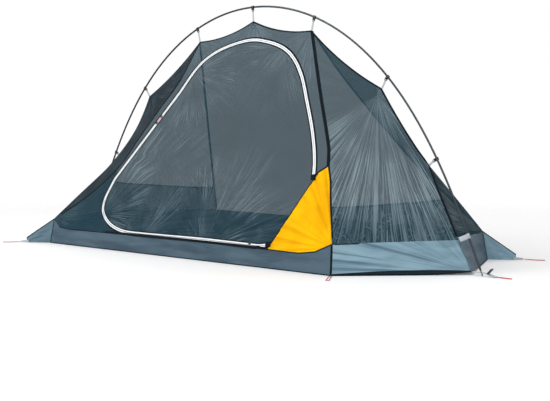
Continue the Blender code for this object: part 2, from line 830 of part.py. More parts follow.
def pocket_cross(share):
    """A point of the pocket's long edge, as x and height."""
    low_end, high_end = np.array(pocket_low), np.array(pocket_bend)
    return tuple(low_end + (high_end - low_end) * share)


def crossing(start, stop, wall_start, wall_stop):
    direction, wall = stop - start, wall_stop - wall_start
    t = np.cross(wall_start - start, wall) / np.cross(direction, wall)
    return start + direction * t


def zip_middle(plane):
    first, second = zip_points()
    low_part = smooth_line([on_front(x, z) for x, z in first], zip_step)
    high_part = smooth_line([on_front(x, z) for x, z in second], zip_step)
    straight = resampled([low_part[-1], high_part[0]], zip_straight_step)
    return flat(plane, np.vstack([low_part, straight[1:-1], high_part]))


def offset_line(middle, offset, wall_start, wall_stop):
    """The zip's middle line moved sideways, with both ends on the pocket's long edge."""
    ahead = np.vstack([middle[1:] - middle[:-1], middle[-1:] - middle[-2:-1]])
    behind = np.vstack([ahead[:1], ahead[:-1]])
    ways = ahead / np.linalg.norm(ahead, axis=1)[:, None] + behind / np.linalg.norm(behind, axis=1)[:, None]
    ways /= np.linalg.norm(ways, axis=1)[:, None]
    moved = middle + offset * np.stack([-ways[:, 1], ways[:, 0]], axis=1)
    moved[0] = crossing(moved[1], moved[0], wall_start, wall_stop)
    moved[-1] = crossing(moved[-2], moved[-1], wall_start, wall_stop)
    return moved


def unflat(plane, points):
    points = np.atleast_2d(points)
    return plane[0] + points[:, :1] * plane[1] + points[:, 1:] * plane[2]


def turns_left(polygon):
    after = np.roll(polygon, -1, axis=0)
    return float((polygon[:, 0] * after[:, 1] - after[:, 0] * polygon[:, 1]).sum()) > 0


def front_panel():
    outline = loop_of("top_AB", "-seam_B", "-ridge_4", "-ridge_3", "seam_A")
    plane = plane_of(outline, front_normal, wall_top_a)
    hinge = flat(plane, np.array([hinge_low, hinge_high]))
    middle = zip_middle(plane)
    outward = -1.0 if turns_left(middle) else 1.0
    offsets = {
        "frame": zip_half_width, "frame_slit": zip_slit_half_width,
        "door_slit": -zip_slit_half_width, "door": -zip_half_width,
    }
    cuts = {n: offset_line(middle, outward * offset, hinge[0], hinge[1]) for n, offset in offsets.items()}
    starts = [cuts[n][0] for n in ("frame", "frame_slit", "door_slit", "door")]
    stops = [cuts[n][-1] for n in ("door", "door_slit", "frame_slit", "frame")]
    between = list(resampled([starts[-1], stops[0]], hinge_step)[1:-1])
    pocket_top = flat(plane, on_front(*pocket_high))[0]
    edge = np.array([hinge[0]] + starts + between + stops + [hinge[1], pocket_top])
    kept = [unflat(plane, line) for line in list(cuts.values()) + [edge]]
    points, faces, plane = panel(outline, creases=kept, normal=front_normal, through=wall_top_a)
    top_ab, seam_b = flat(plane, lines["top_AB"]), flat(plane, lines["seam_B"])
    first = int(np.argmin(np.linalg.norm(top_ab - edge[0], axis=1)))
    last = int(np.argmin(np.linalg.norm(seam_b - edge[-1], axis=1)))
    pocket = np.vstack([edge, seam_b[last + 1:], top_ab[first + 1:-1][::-1]])
    kinds = {"pocket": [], "door": [], "door_slit": [], "frame_slit": [], "frame": [], "rest": []}
    areas = {"pocket": pocket, **{n: cuts[n] for n in ("door", "door_slit", "frame_slit", "frame")}}
    for face, place in zip(faces, flat(plane, points[np.array(faces)].mean(axis=1))):
        kind = next((n for n, area in areas.items() if inside(area, place)), "rest")
        kinds[kind].append(face)
    add_region("front_mesh", points, kinds["rest"], "netting", mesh_thickness)
    add_region("zip_tape_canopy", points, kinds["frame"], "reflective_zip", zip_thickness)
    add_region("zip_tape_door", points, kinds["door_slit"], "reflective_zip", zip_thickness, hinge_low)
    add_region("door_mesh", points, kinds["door"], "netting", mesh_thickness, hinge_low)
    add_region("stow_pocket", points, kinds["pocket"], "pocket_cloth", cloth_thickness)


# Clips, straps and tabs between the canopy and the pole


def clip_outline(wall, stem_depth, stem_length):
    """A J-shaped clip round the pole, open to the back. Points are (y, outwards) from the pole's middle."""
    inner = pole_radius + clip_clearance
    outer = inner + wall
    half = stem_depth / 2
    meet = math.pi + math.acos(-half / outer) - math.pi / 2
    outside_arc = np.linspace(math.pi / 2, meet, clip_arc_points - 1)
    outside = [(outer * math.cos(a), outer * math.sin(a)) for a in outside_arc]
    outside = [(-abs(y), out) for y, out in outside]
    inside_arc = np.linspace(1.5 * math.pi, 0.5 * math.pi, clip_arc_points)
    return (
        [(clip_arm, inner), (clip_arm, outer)]
        + outside
        + [(-half, -outer - stem_length), (half, -outer - stem_length), (half, -outer)]
        + [(clip_arm, -outer), (clip_arm, -inner)]
        + [(inner * math.cos(a), inner * math.sin(a)) for a in inside_arc]
    )


def swept_across_pole(outline, station, width):
    """A (y, outwards) outline made into a solid as wide as given along the pole."""
    middle, along, out = pole_point(station), pole_direction(station), pole_outward(station)
    across = np.array([0.0, 1.0, 0.0])
    vertices = []
    for side in (-1, 1):
        vertices += [middle + along * side * width / 2 + across * y + out * o for y, o in outline]
    count = len(outline)
    faces = [tuple(range(count)), tuple(reversed(range(count, 2 * count)))]
    for i in range(count):
        k = (i + 1) % count
        faces.append((i, i + count, k + count, k))
    return vertices, faces


def flat_strip(corners, thickness):
    """A four-cornered strip in the pole's plane, given thickness along y."""
    half = np.array([0.0, thickness / 2, 0.0])
    vertices = [c - half for c in corners] + [c + half for c in corners]
    faces = [(0, 1, 2, 3), (7, 6, 5, 4), (0, 4, 5, 1), (1, 5, 6, 2), (2, 6, 7, 3), (3, 7, 4, 0)]
    return vertices, faces


strap_lift = strap_thickness / 2 + strap_clearance


def ridge_clips():
    for i, (station, tip) in enumerate(zip(clip_stations, tips)):
        along, out = pole_direction(station), pole_outward(station)
        root = np.array(tip) + out * strap_lift
        clip = swept_across_pole(clip_outline(clip_wall, clip_stem_depth, clip_stem), station, clip_width)
        turn_faces_out(add_object(f"ridge_clip_{i + 1}", *clip, "black_plastic", root))
        foot = pole_radius + clip_clearance + clip_wall + clip_stem + seam_gap
        head = pole_point(station) - out * foot
        side = along * strap_width / 2
        strip = flat_strip([root - side, root + side, head + side, head - side], strap_thickness)
        turn_faces_out(add_object(f"ridge_strap_{i + 1}", *strip, "grey_webbing", root))


def nearest_station(point):
    stations = np.linspace(0.0, pole_half_length, 1500)
    gaps = [np.linalg.norm(pole_point(s) - point) for s in stations]
    return float(stations[int(np.argmin(gaps))])


def low_tabs():
    """A short webbing tab wraps round the pole low down and runs square across to each end wall's top."""
    reach = nearest_station(np.array(top["C"]))
    gap = np.linalg.norm(pole_point(reach) - np.array(top["C"]))
    stem = gap - (pole_radius + clip_clearance + tab_wall) - tab_lift
    outline = clip_outline(tab_wall, tab_wall, stem)
    for side, word in ((-1, "left"), (1, "right")):
        tab = swept_across_pole(outline, side * reach, low_tab_width)
        turn_faces_out(add_object(f"low_tab_{word}", *tab, "grey_webbing"))


# Zip sliders and their pulls


def slider_frame(distance):
    """Place and axes on the zip: up the zip, across it towards the canopy side, and outwards."""
    low_end, high_end = np.array(on_front(*zip_straight_low)), np.array(on_front(*zip_straight_high))
    up = unit(high_end - low_end)
    out = front_normal if front_normal[1] < 0 else -front_normal
    across = unit(np.cross(out, up))
    if across[0] > 0:
        across = -across
    return high_end - up * distance, up, across, out


def sliders():
    for word, distance in (("upper", slider_from_top), ("lower", slider_from_top + slider_spacing)):
        place, up, across, out = slider_frame(distance)
        low_face = -zip_thickness - seam_gap
        half, post = slider_width / 2, slider_post / 2
        outline = [
            (-half, seam_gap), (-post, seam_gap), (-post, low_face), (-half, low_face),
            (-half, low_face - slider_plate), (post, low_face - slider_plate), (post, seam_gap),
            (half, seam_gap), (half, seam_gap + slider_plate), (-half, seam_gap + slider_plate),
        ]
        vertices = []
        for side in (-1, 1):
            end = place + up * side * slider_length / 2
            vertices += [end + across * a + out * o for a, o in outline]
        count = len(outline)
        faces = [tuple(range(count)), tuple(reversed(range(count, 2 * count)))]
        faces += [(i, i + count, (i + 1) % count + count, (i + 1) % count) for i in range(count)]
        turn_faces_out(add_object(f"zip_slider_{word}", vertices, faces, "black_plastic", place))
        if word == "upper":
            level = seam_gap + slider_plate + pull_clearance + pull_radius
        else:
            level = low_face - slider_plate - pull_clearance - pull_radius
        base = place + out * level
        hang = -up
        bend = pull_width / 2
        route = [base + across * bend, base + across * bend + hang * (pull_length - bend)]
        route += [
            base + hang * (pull_length - bend) + across * bend * math.cos(a) + hang * bend * math.sin(a)
            for a in np.linspace(0.3, math.pi - 0.3, 5)
        ]
        route += [base - across * bend + hang * (pull_length - bend), base - across * bend]
        cord(f"zip_pull_{word}", route, pull_radius, place)


def cord(name, route, radius, origin=(0.0, 0.0, 0.0)):
    """A cord as a round bevelled curve through evenly spaced points of a smooth route."""
    points = smooth_line(route, 2 * radius * cord_point_spacing)
    curve = bpy.data.curves.new(name, "CURVE")
    curve.dimensions = "3D"
    curve.bevel_depth = radius
    curve.bevel_resolution = cord_bevel_resolution
    curve.use_fill_caps = True
    spline = curve.splines.new("POLY")
    spline.points.add(len(points) - 1)
    for spot, place in zip(spline.points, points):
        spot.co = (*(place - np.array(origin)), 1.0)
    curve.materials.append(finishes("red_cord"))
    made = bpy.data.objects.new(name, curve)
    made.location = origin
    bpy.context.scene.collection.objects.link(made)


# Corners: foot straps with their eyelets, fly buckles, beaks and staking loops


def plate(outline, holes, height, thickness):
    """A flat plate with round holes, bent along x by a height function."""
    outline = np.array(outline)
    rings = [outline] + [np.array(h) for h in holes]
    closed = [np.vstack([h, h[:1]]) for h in rings[1:]]
    flat_points, faces = triangulate(outline, closed, 1.0)
    kept = [f for f in faces if not any(inside(h, flat_points[list(f)].mean(axis=0)) for h in rings[1:])]
    lower = [np.array([x, y, height(x)]) for x, y in flat_points]
    upper = [p + np.array([0.0, 0.0, thickness]) for p in lower]
    count = len(lower)
    used = {(f[i], f[(i + 1) % 3]) for f in kept for i in range(3)}
    solid = [tuple(reversed(f)) for f in kept] + [tuple(i + count for i in f) for f in kept]
    solid += [(a, b, b + count, a + count) for a, b in used if (b, a) not in used]
    return lower + upper, solid


def strap_height(x):
    """The foot strap leaves the floor's raised end level and comes down to the ground past the pole."""
    stations = [end_corner_x, pivot_x + eyelet_margin, foot_strap_end_x]
    levels = [pivot_height - webbing_thickness / 2, pivot_height - webbing_thickness / 2, strap_end_height]
    return float(np.interp(abs(x), stations, levels))


def foot_straps():
    half = webbing_width / 2
    eyelet = [
        (eyelet_radius * math.cos(a), eyelet_radius * math.sin(a))
        for a in np.linspace(0, 2 * math.pi, eyelet_sides, endpoint=False)
    ]
    for side, word in ((-1, "left"), (1, "right")):
        start, stop = end_corner_x + strap_corner_gap, foot_strap_end_x
        bend = pivot_x + eyelet_margin
        outline = [(start, -half), (bend, -half), (stop, -half), (stop, half), (bend, half), (start, half)]
        outline = [(side * x, side * y) for x, y in outline]
        hole = [(side * (x + pivot_x), y) for x, y in eyelet]
        made = plate(outline, [hole], strap_height, webbing_thickness)
        turn_faces_out(add_object(f"foot_strap_{word}", *made, "grey_webbing"))
        loop(f"stake_loop_{word}_end", (side * stop, 0.0, strap_end_height), (side, 0.0), end_loop_length)
        buckle(side, word)


def buckle(side, word):
    """The fly's side-release buckle: a three-pronged plug that stands up from the strap."""
    base_x = pivot_x + buckle_from_foot
    lean = math.radians(buckle_tilt)
    way = np.array([side * math.cos(lean), 0.0, math.sin(lean)])
    across = np.array([0.0, 1.0, 0.0])
    outline = [(buckle_length * a, -buckle_width / 2 * b) for a, b in buckle_outline]
    outline += [(a, -b) for a, b in reversed(outline)]
    out = np.cross(way, across)
    base = np.array([side * base_x, 0.0, strap_height(base_x) + webbing_thickness])
    vertices = []
    for face_side in (0, 1):
        vertices += [base + way * a + across * b + out * face_side * buckle_thickness for a, b in outline]
    sunk = min(v[2] - strap_height(v[0]) - webbing_thickness for v in vertices)
    vertices = [v + np.array([0.0, 0.0, seam_gap - sunk]) for v in vertices]
    count = len(outline)
    faces = [tuple(range(count)), tuple(reversed(range(count, 2 * count)))]
    faces += [(i, i + count, (i + 1) % count + count, (i + 1) % count) for i in range(count)]
    turn_faces_out(add_object(f"fly_buckle_{word}", vertices, faces, "black_plastic"))


def loop(name, start, heading, length):
    """A cord loop lying out from its tab: two strands that run to a round end on the ground."""
    start = np.array(start)
    ahead = unit(np.array([heading[0], heading[1], 0.0]))
    across = np.array([-ahead[1], ahead[0], 0.0])
    rest = loop_cord_radius + ground_clearance
    first = start + ahead * seam_gap
    level = max(start[2] + loop_cord_radius, rest)
    route = []
    for share in (0.0, 0.25, 0.5, 0.75, 1.0):
        height = rest + (level - rest) * (1 - share) ** 2
        opened = math.sin(math.pi * min(share * loop_opening_rate, 0.5))
        spread = loop_start_spread + (loop_turn_radius - loop_start_spread) * opened
        spot = first + ahead * (length - loop_turn_radius) * share
        route.append(np.array([spot[0], spot[1], height]) + across * spread)
    end = first + ahead * (length - loop_turn_radius)
    for a in (0.25, 0.5, 0.75):
        turn = math.pi * a
        spot = end + across * loop_turn_radius * math.cos(turn) + ahead * loop_turn_radius * math.sin(turn)
        route.append(np.array([spot[0], spot[1], rest]))
    mirrored = [p - across * 2 * np.dot(p - first, across) for p in route[:5]]
    route += list(reversed(mirrored))
    cord(name, route, loop_cord_radius)


def beaks():
    """A small fin sewn into the corner seam, drawn out to a webbing tab that a loop is tied to."""
    for corner, side, word in (("A", -1, "front_left"), ("D", 1, "back_right")):
        angle = math.radians(beak_angle)
        ahead = np.array([side * math.cos(angle), side * math.sin(angle), 0.0])
        foot, head = np.array(low[corner]), np.array(top[corner])
        across = np.array([-ahead[1], ahead[0], 0.0])
        up = np.array([0.0, 0.0, 1.0])
        root = ahead * beak_root_gap
        tip = foot + ahead * beak_length
        stop = tip + ahead * tab_length
        middle = foot + ahead * beak_length * beak_middle_share
        middle_high = beak_tip_high + beak_middle_rise * (head[2] - beak_tip_high)
        levels = [
            (foot + root + up * beak_low, head + root - up * beak_low),
            (middle + up * beak_low, middle + up * middle_high),
            (tip + up * beak_low, tip + up * beak_tip_high),
            (stop + up * beak_low, stop + up * tab_end_height),
        ]
        vertices, faces = [], []
        for low_point, high_point in levels:
            for point in (low_point, high_point):
                vertices += [point - across * beak_thickness / 2, point + across * beak_thickness / 2]
        for i in range(3):
            a, b = 4 * i, 4 * (i + 1)
            faces += [(a, a + 2, b + 2, b), (a + 3, a + 1, b + 1, b + 3)]
            faces += [(a + 2, a + 3, b + 3, b + 2), (a + 1, a, b, b + 1)]
        faces += [(0, 1, 3, 2), (12, 14, 15, 13)]
        turn_faces_out(add_object(f"corner_beak_{word}", vertices, faces, "pale_cloth"))
        loop(f"stake_loop_{word}", stop + up * tab_loop_height, ahead[:2], corner_loop_length)
    for corner, side, word in (("B", -1, "front_right"), ("E", 1, "back_left")):
        heading = np.array([-side * side_loop_heading[0], side * side_loop_heading[1]])
        start = np.array(low[corner]) + np.array([*unit(heading), 0.0]) * side_loop_gap
        loop(f"stake_loop_{word}", start, heading, side_loop_length)


clear_scene()
make_lines()
canopy_and_walls()
build_regions()
pole_sections()
pole_tips()
ridge_clips()
low_tabs()
sliders()
foot_straps()
beaks()
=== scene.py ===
from math import cos, pi, radians, sin, sqrt

import bmesh
import bpy
import numpy as np
from mathutils import Matrix, Vector
from mathutils.kdtree import KDTree


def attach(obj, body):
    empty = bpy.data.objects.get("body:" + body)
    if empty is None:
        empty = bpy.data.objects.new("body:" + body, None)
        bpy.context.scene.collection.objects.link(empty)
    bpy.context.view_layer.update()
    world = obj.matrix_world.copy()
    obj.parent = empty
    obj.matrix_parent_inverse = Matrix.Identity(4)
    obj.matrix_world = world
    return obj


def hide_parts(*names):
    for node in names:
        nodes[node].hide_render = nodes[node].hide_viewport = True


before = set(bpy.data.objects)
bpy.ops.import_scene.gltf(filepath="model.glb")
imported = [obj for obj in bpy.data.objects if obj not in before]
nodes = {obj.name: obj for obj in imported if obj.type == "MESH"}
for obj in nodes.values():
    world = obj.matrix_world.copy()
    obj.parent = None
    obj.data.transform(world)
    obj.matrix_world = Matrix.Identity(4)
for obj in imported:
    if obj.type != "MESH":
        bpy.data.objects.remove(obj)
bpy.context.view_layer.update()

scene = bpy.context.scene
up = Vector((0, 0, 1))
tentMiddle = Vector((0, 0, 0.35))

# places on the tent that several pieces use, in metres
tips = [(-0.956, 0, 0.428), (-0.718, 0, 0.739), (-0.348, 0, 0.994), (0.003, 0, 1.067),
        (0.348, 0, 1.001), (0.722, 0, 0.737), (0.953, 0, 0.424)]
wallTops = {"A": (-0.96, -0.425, 0.125), "B": (0.752, -0.375, 0.124), "C": (1.094, 0, 0.133),
            "D": (0.965, 0.425, 0.127), "E": (-0.648, 0.415, 0.134), "F": (-1.094, 0, 0.133)}
floorCorners = {"A": (-0.985, -0.435, 0), "B": (0.755, -0.385, 0), "C": (1.155, 0, 0.012),
                "D": (0.985, 0.435, 0), "E": (-0.67, 0.425, 0), "F": (-1.155, 0, 0.012)}
pivotX = 1.19446
frontOut = Vector((0.02713, -0.92129, 0.38792))
doorHinge = (Vector((0.44, -0.4019, 0.082)), Vector((0.592, -0.2694, 0.386)))

print("camera")
cameraView = {"place": (2.9849, -3.2792, 0.5588), "turn": 40.994, "down": 4.159, "lens": 62.18,
              "sensor": 36.0, "farthest": 60}
for name in ("Cube", "Light", "Camera"):
    if name in bpy.data.objects:
        bpy.data.objects.remove(bpy.data.objects[name])


def addObject(name, data):
    made = bpy.data.objects.new(name, data)
    scene.collection.objects.link(made)
    return made


def addMesh(name, bm, finish):
    mesh = bpy.data.meshes.new(name)
    bm.to_mesh(mesh)
    bm.free()
    mesh.materials.append(finish)
    return addObject(name, mesh)


camera = bpy.data.cameras.new("studioCamera")
camera.lens = cameraView["lens"]
camera.sensor_width = cameraView["sensor"]
camera.clip_end = cameraView["farthest"]
studioCamera = addObject("studioCamera", camera)
studioCamera.location = cameraView["place"]
studioCamera.rotation_euler = (radians(90 - cameraView["down"]), 0, radians(cameraView["turn"]))
scene.camera = studioCamera
scene.view_settings.view_transform = "Standard"


def setInputs(node, values):
    # a value is a constant or another node's output
    for key, value in values.items():
        entry = node.inputs[key]
        if isinstance(value, bpy.types.NodeSocket):
            node.id_data.links.new(value, entry)
        else:
            entry.default_value = (*value, 1) if entry.type == "RGBA" else value


def addNode(tree, kind, values=None, **settings):
    made = tree.nodes.new(kind)
    for key, value in settings.items():
        setattr(made, key, value)
    setInputs(made, values or {})
    return made


def maths(operation, first, second=0.0):
    return addNode(first.id_data, "ShaderNodeMath", {0: first, 1: second}, operation=operation).outputs[0]


def mapRange(value, start, stop, low=0.0, high=1.0):
    values = {"Value": value, "From Min": start, "From Max": stop, "To Min": low, "To Max": high}
    return addNode(value.id_data, "ShaderNodeMapRange", values).outputs[0]


def newMaterial(name, maker, look):
    # the maker adds nodes to the material's tree and returns what goes into its shader
    made = bpy.data.materials.new(name)
    made.use_nodes = True
    setInputs(made.node_tree.nodes["Principled BSDF"], maker(made.node_tree, look))
    return made


print("studio")
studio = {
    "worldLight": 0.5, "worldSeen": 1.0, "floorColour": (0.94, 0.94, 0.94), "floorRoughness": 0.9,
    "floorShine": 0.1, "floorGlow": 0.12, "floorSize": 12, "floorDrop": 0.0006, "floorFade": (1.9, 3.4),
    "lampAim": (0, 0, 0.4),
    "lamps": [  # place, width, watts
        ((-2.4, -4.2, 4.2), 3.0, 150),
        ((2.0, -4.0, 3.0), 2.6, 62),
        ((0.0, 2.5, 4.6), 3.0, 60),
    ],
}


def whereSeen(tree):
    # 1 for what the camera or a mirror sees, 0 for what only lights the tent
    path = addNode(tree, "ShaderNodeLightPath").outputs
    first = maths("MAXIMUM", path["Is Camera Ray"], path["Is Glossy Ray"])
    return maths("MAXIMUM", first, path["Is Transmission Ray"])


def stageNodes(tree, look):
    # the floor fades out far from the tent, so that no horizon shows
    place = addNode(tree, "ShaderNodeTexCoord").outputs["Object"]
    reach = addNode(tree, "ShaderNodeVectorMath", {0: place}, operation="LENGTH").outputs["Value"]
    return {"Base Color": look["floorColour"], "Roughness": look["floorRoughness"],
            "Specular IOR Level": look["floorShine"], "Emission Color": (1, 1, 1),
            "Emission Strength": maths("MULTIPLY", whereSeen(tree), look["floorGlow"]),
            "Alpha": mapRange(reach, *look["floorFade"], 1.0, 0.0)}


world = bpy.data.worlds.new("studioWorld")
world.use_nodes = True
tree = world.node_tree
tree.nodes.clear()
lights = [addNode(tree, "ShaderNodeBackground", {"Color": (1, 1, 1), "Strength": strength}).outputs[0]
          for strength in (studio["worldLight"], studio["worldSeen"])]
mix = addNode(tree, "ShaderNodeMixShader", {0: whereSeen(tree), 1: lights[0], 2: lights[1]})
addNode(tree, "ShaderNodeOutputWorld", {0: mix.outputs[0]})
scene.world = world

bm = bmesh.new()
bmesh.ops.create_grid(bm, x_segments=1, y_segments=1, size=studio["floorSize"] / 2)
floor = addMesh("studioFloor", bm, newMaterial("studioFloor", stageNodes, studio))
floor.location.z = -studio["floorDrop"]
for i, (place, width, watts) in enumerate(studio["lamps"]):
    lamp = bpy.data.lights.new(f"softLamp{i + 1}", "AREA")
    lamp.size = width
    lamp.energy = watts
    holder = addObject(lamp.name, lamp)
    holder.location = place
    aim = Vector(studio["lampAim"]) - Vector(place)
    holder.rotation_euler = aim.to_track_quat("-Z", "Y").to_euler()

print("finishes")
# colours are linear, sizes in metres
netShared = {"roughness": 0.7, "cell": 0.0018, "shine": 0.03, "scale": (34, 2.2), "range": (0.51, 0.62),
             "drift": 0.3, "patches": (6.0, 0.32, 0.6)}
netLooks = {
    # the streaks are painted sheen on the wrinkled net; scale is the streaks across and along, range where
    # they start and are full;
    # reach is where they start to fade, where that ends and what is left of them
    "netPlain": {"colour": (0.024, 0.064, 0.088), "alpha": 0.725, "paintedSheen": (0.185, 0.27, 0.325),
                 "scale": (44, 2.2), "range": (0.515, 0.62), "drift": 0.25, "reach": (0.18, 0.55, 0.05)},
    "netGathered": {"colour": (0.026, 0.068, 0.093), "alpha": 0.73, "paintedSheen": (0.285, 0.4, 0.46),
                    "scale": (38, 2.0), "range": (0.5, 0.655), "drift": 0.7, "reach": (0.5, 0.85, 0.55),
                    "patches": (3.0, 0.3, 0.52), "span": (-1.25, -0.7), "curls": (13.0, 0.34, 0.55)},
    "netDoor": {"colour": (0.017, 0.05, 0.072), "alpha": 0.73, "paintedSheen": (0.17, 0.242, 0.285),
                "scale": (30, 2.0), "reach": (0.22, 0.8, 0.05), "patches": (5.0, 0.34, 0.6)},
    "netHalfDense": {"colour": (0.004, 0.027, 0.04), "alpha": 0.905, "paintedSheen": (0.11, 0.165, 0.205),
                     "reach": (0.2, 0.8, 0.2)},
    "netDense": {"colour": (0.005, 0.013, 0.019), "alpha": 0.975, "paintedSheen": (0.06, 0.094, 0.122),
                 "reach": (0.2, 0.8, 0.15)},
}
clothShared = {"roughness": 0.46, "sheen": 0.03, "shine": 0.12, "ripstop": 0.006, "thread": 0.0008,
               "folds": (20, 20), "depth": 0.004, "strength": 0.35, "paintedCreaseShade": (0.86, 0.72, 0.6)}
clothLooks = {  # folds and rays are their scale along and across, and both paint shade into the colour, in the fold hollows and along the creases; edge darkens the foot of a wall
    "slateCloth": {"colour": (0.092, 0.142, 0.184), "shade": (0.056, 0.092, 0.124), "roughness": 0.52,
                   "shine": 0.07, "folds": (4, 22)},
    "paleCloth": {"colour": (0.3, 0.462, 0.552), "shade": (0.215, 0.345, 0.425), "roughness": 0.45,
                  "folds": (5, 20), "edge": (0.03, 0.04, 0.05), "rays": (34, 1.6),
                  "paintedCreaseShade": (0.46, 0.52, 0.57)},
    # both beaks are the pale cloth: the front left one has painted shade in its colour and the back right one
    # painted light
    "beakClothPaintedShade": {"colour": (0.15, 0.237, 0.292), "shade": (0.112, 0.18, 0.228)},
    "beakClothPaintedLight": {"colour": (0.285, 0.445, 0.545), "shade": (0.218, 0.348, 0.432)},
    # the floor cloth's pale stop is painted light on the tops of its folds, and its dark stop painted shade
    # in the hollows
    "floorCloth": {"colour": (0.11, 0.135, 0.155), "shade": (0.008, 0.013, 0.018), "roughness": 0.36,
                   "shine": 0.55, "folds": (24, 4.5), "depth": 0.01, "strength": 0.9},
    "pocketCloth": {"colour": (0.96, 0.545, 0.002), "shade": (0.88, 0.43, 0.001), "roughness": 0.6,
                    "shine": 0.03, "folds": (7, 7), "depth": 0.003, "strength": 0.2, "rays": (16, 2.2)},
    "darkTrim": {"colour": (0.007, 0.013, 0.018), "shade": (0.004, 0.008, 0.012), "roughness": 0.7,
                 "shine": 0.06, "folds": (30, 30), "depth": 0.001, "strength": 0.2},
    "cornerCloth": {"colour": (0.15, 0.205, 0.245), "shade": (0.11, 0.155, 0.19), "roughness": 0.6,
                    "folds": (30, 30), "depth": 0.001, "strength": 0.2},
}
webbingLooks = {
    "greyWebbing": {"colour": (0.74, 0.79, 0.83), "dark": (0.46, 0.5, 0.54)},
    "blackWebbing": {"colour": (0.03, 0.032, 0.036), "dark": (0.012, 0.013, 0.015)},
}
metalLooks = {  # a dark rim is an anodised tube
    "poleMetal": {"colour": (0.052, 0.062, 0.072), "roughness": 0.3, "rim": (0.02, 0.03, 0.04)},
    "brightMetal": {"colour": (0.62, 0.63, 0.64), "roughness": 0.28, "rim": (1, 1, 1)},
}
zipPaint = {"colour": (0.9, 0.94, 0.97), "teeth": (0.97, 0.98, 0.99), "pitch": 0.0014}
plasticPaint = {"colour": (0.011, 0.012, 0.014), "rubbed": (0.03, 0.031, 0.034)}
cordPaint = {"colour": (0.5, 0.012, 0.028), "fleck": (0.7, 0.16, 0.19), "braid": 0.0016}


def uvPlace(tree, uvMap, across=1, along=1, turn=0.0):
    source = addNode(tree, "ShaderNodeUVMap", uv_map=uvMap).outputs["UV"]
    values = {"Vector": source, "Scale": (across, along, 1), "Rotation": (0, 0, turn)}
    return addNode(tree, "ShaderNodeMapping", values).outputs[0]


def uvAxis(tree, uvMap, axis):
    source = addNode(tree, "ShaderNodeUVMap", uv_map=uvMap).outputs["UV"]
    return addNode(tree, "ShaderNodeSeparateXYZ", {0: source}).outputs[axis]


def objectPlace(tree, scale=(1, 1, 1)):
    source = addNode(tree, "ShaderNodeTexCoord").outputs["Object"]
    return addNode(tree, "ShaderNodeMapping", {"Vector": source, "Scale": scale}).outputs[0]


def noise(place, scale=1.0, detail=3.0, distortion=0.0, roughness=0.5):
    values = {"Vector": place, "Scale": scale, "Detail": detail, "Distortion": distortion,
              "Roughness": roughness}
    return addNode(place.id_data, "ShaderNodeTexNoise", values).outputs["Fac"]


def bands(place, spacing, direction="X"):
    values = {"Vector": place, "Scale": 0.31416 / spacing}  # at a scale of 0.31416 the bands are 1 m apart
    return addNode(place.id_data, "ShaderNodeTexWave", values, bands_direction=direction).outputs["Fac"]


def weave(place, spacing, operation="MULTIPLY"):
    # threads that cross at right angles
    return maths(operation, bands(place, spacing), bands(place, spacing, "Y"))


def ramp(factor, stops):
    # a stop is a position and a colour, or one number for a grey
    made = addNode(factor.id_data, "ShaderNodeValToRGB", {"Fac": factor})
    elements = made.color_ramp.elements
    elements[1].position = stops[-1][0]
    elements[0].position = stops[0][0]
    for position, _ in stops[1:-1]:
        elements.new(position)
    for element, (_, colour) in zip(elements, stops):
        element.color = (*colour, 1) if isinstance(colour, tuple) else (colour, colour, colour, 1)
    return made.outputs["Color"]


def mixColours(tree, factor, first, second, mode="MIX"):
    # a Mix node has its colours in inputs 6 and 7 and in output 2
    values = {0: factor, 6: first, 7: second}
    return addNode(tree, "ShaderNodeMix", values, data_type="RGBA", blend_type=mode).outputs[2]


def multiplied(first, *others):
    for other in others:
        first = mixColours(first.id_data, 1.0, first, other, "MULTIPLY")
    return first


def bump(*heights):
    # heights are (output, strength, depth), from the coarsest to the finest
    before = {}
    for height, strength, depth in heights:
        values = {"Height": height, "Strength": strength, "Distance": depth, **before}
        before = {"Normal": addNode(height.id_data, "ShaderNodeBump", values).outputs[0]}
    return before["Normal"]


def addPaintedCurlHighlights(tree, share, curls):
    # painted highlights on thin loops of slack mesh far from the anchor: the level lines of a soft noise
    scale, start, full = curls
    loops = noise(uvPlace(tree, "cloth", 1.0, 0.7), scale, 2.0, 0.9)
    thin = ramp(loops, [(0.462, 0), (0.486, 0.42), (0.51, 0), (0.555, 0), (0.575, 0.3), (0.6, 0)])
    low = mapRange(uvAxis(tree, "fan", 1), start, full)
    return mixColours(tree, 1.0, share, multiplied(thin, low), "LIGHTEN")


def nettingNodes(tree, look):
    # fine black mesh: see-through by a constant alpha, with pale streaks where it gathers near its anchor,
    # which are painted sheen on its wrinkles
    look = {**netShared, **look}
    across, along = look["scale"]
    sheenStreaks = noise(uvPlace(tree, "fan", across, along), 1.0, 4.0, look["drift"], 0.6)
    fine = noise(uvPlace(tree, "fan", across * 2.6, along * 1.7), 1.0, 3.0, look["drift"], 0.6)
    both = maths("MAXIMUM", sheenStreaks, fine)
    start, full = look["range"]
    near, far, left = look["reach"]
    size, low, high = look["patches"]
    patches = noise(uvPlace(tree, "cloth"), size, 2.0)
    # how much painted sheen: the streaks, random patches of them, and a fade away from the anchor
    layers = [ramp(both, [(start, 0), (full, 1)]), ramp(patches, [(low, 0.1), (high, 1)]),
              mapRange(uvAxis(tree, "fan", 1), near, far, 1.0, left)]
    if "span" in look:
        # the fan falls from its anchor, and fades out where it would turn up to the left
        layers.append(mapRange(uvAxis(tree, "fan", 0), *look["span"], 0.12, 1.0))
    share = multiplied(*layers)
    if "curls" in look:
        share = addPaintedCurlHighlights(tree, share, look["curls"])
    cells = weave(uvPlace(tree, "cloth"), look["cell"])
    return {"Roughness": look["roughness"], "Alpha": look["alpha"], "Specular IOR Level": look["shine"],
            # the streak colour is painted sheen
            "Base Color": mixColours(tree, share, look["colour"], look["paintedSheen"]),
            "Normal": bump((both, 0.5, 0.004), (cells, 0.4, 0.0003))}


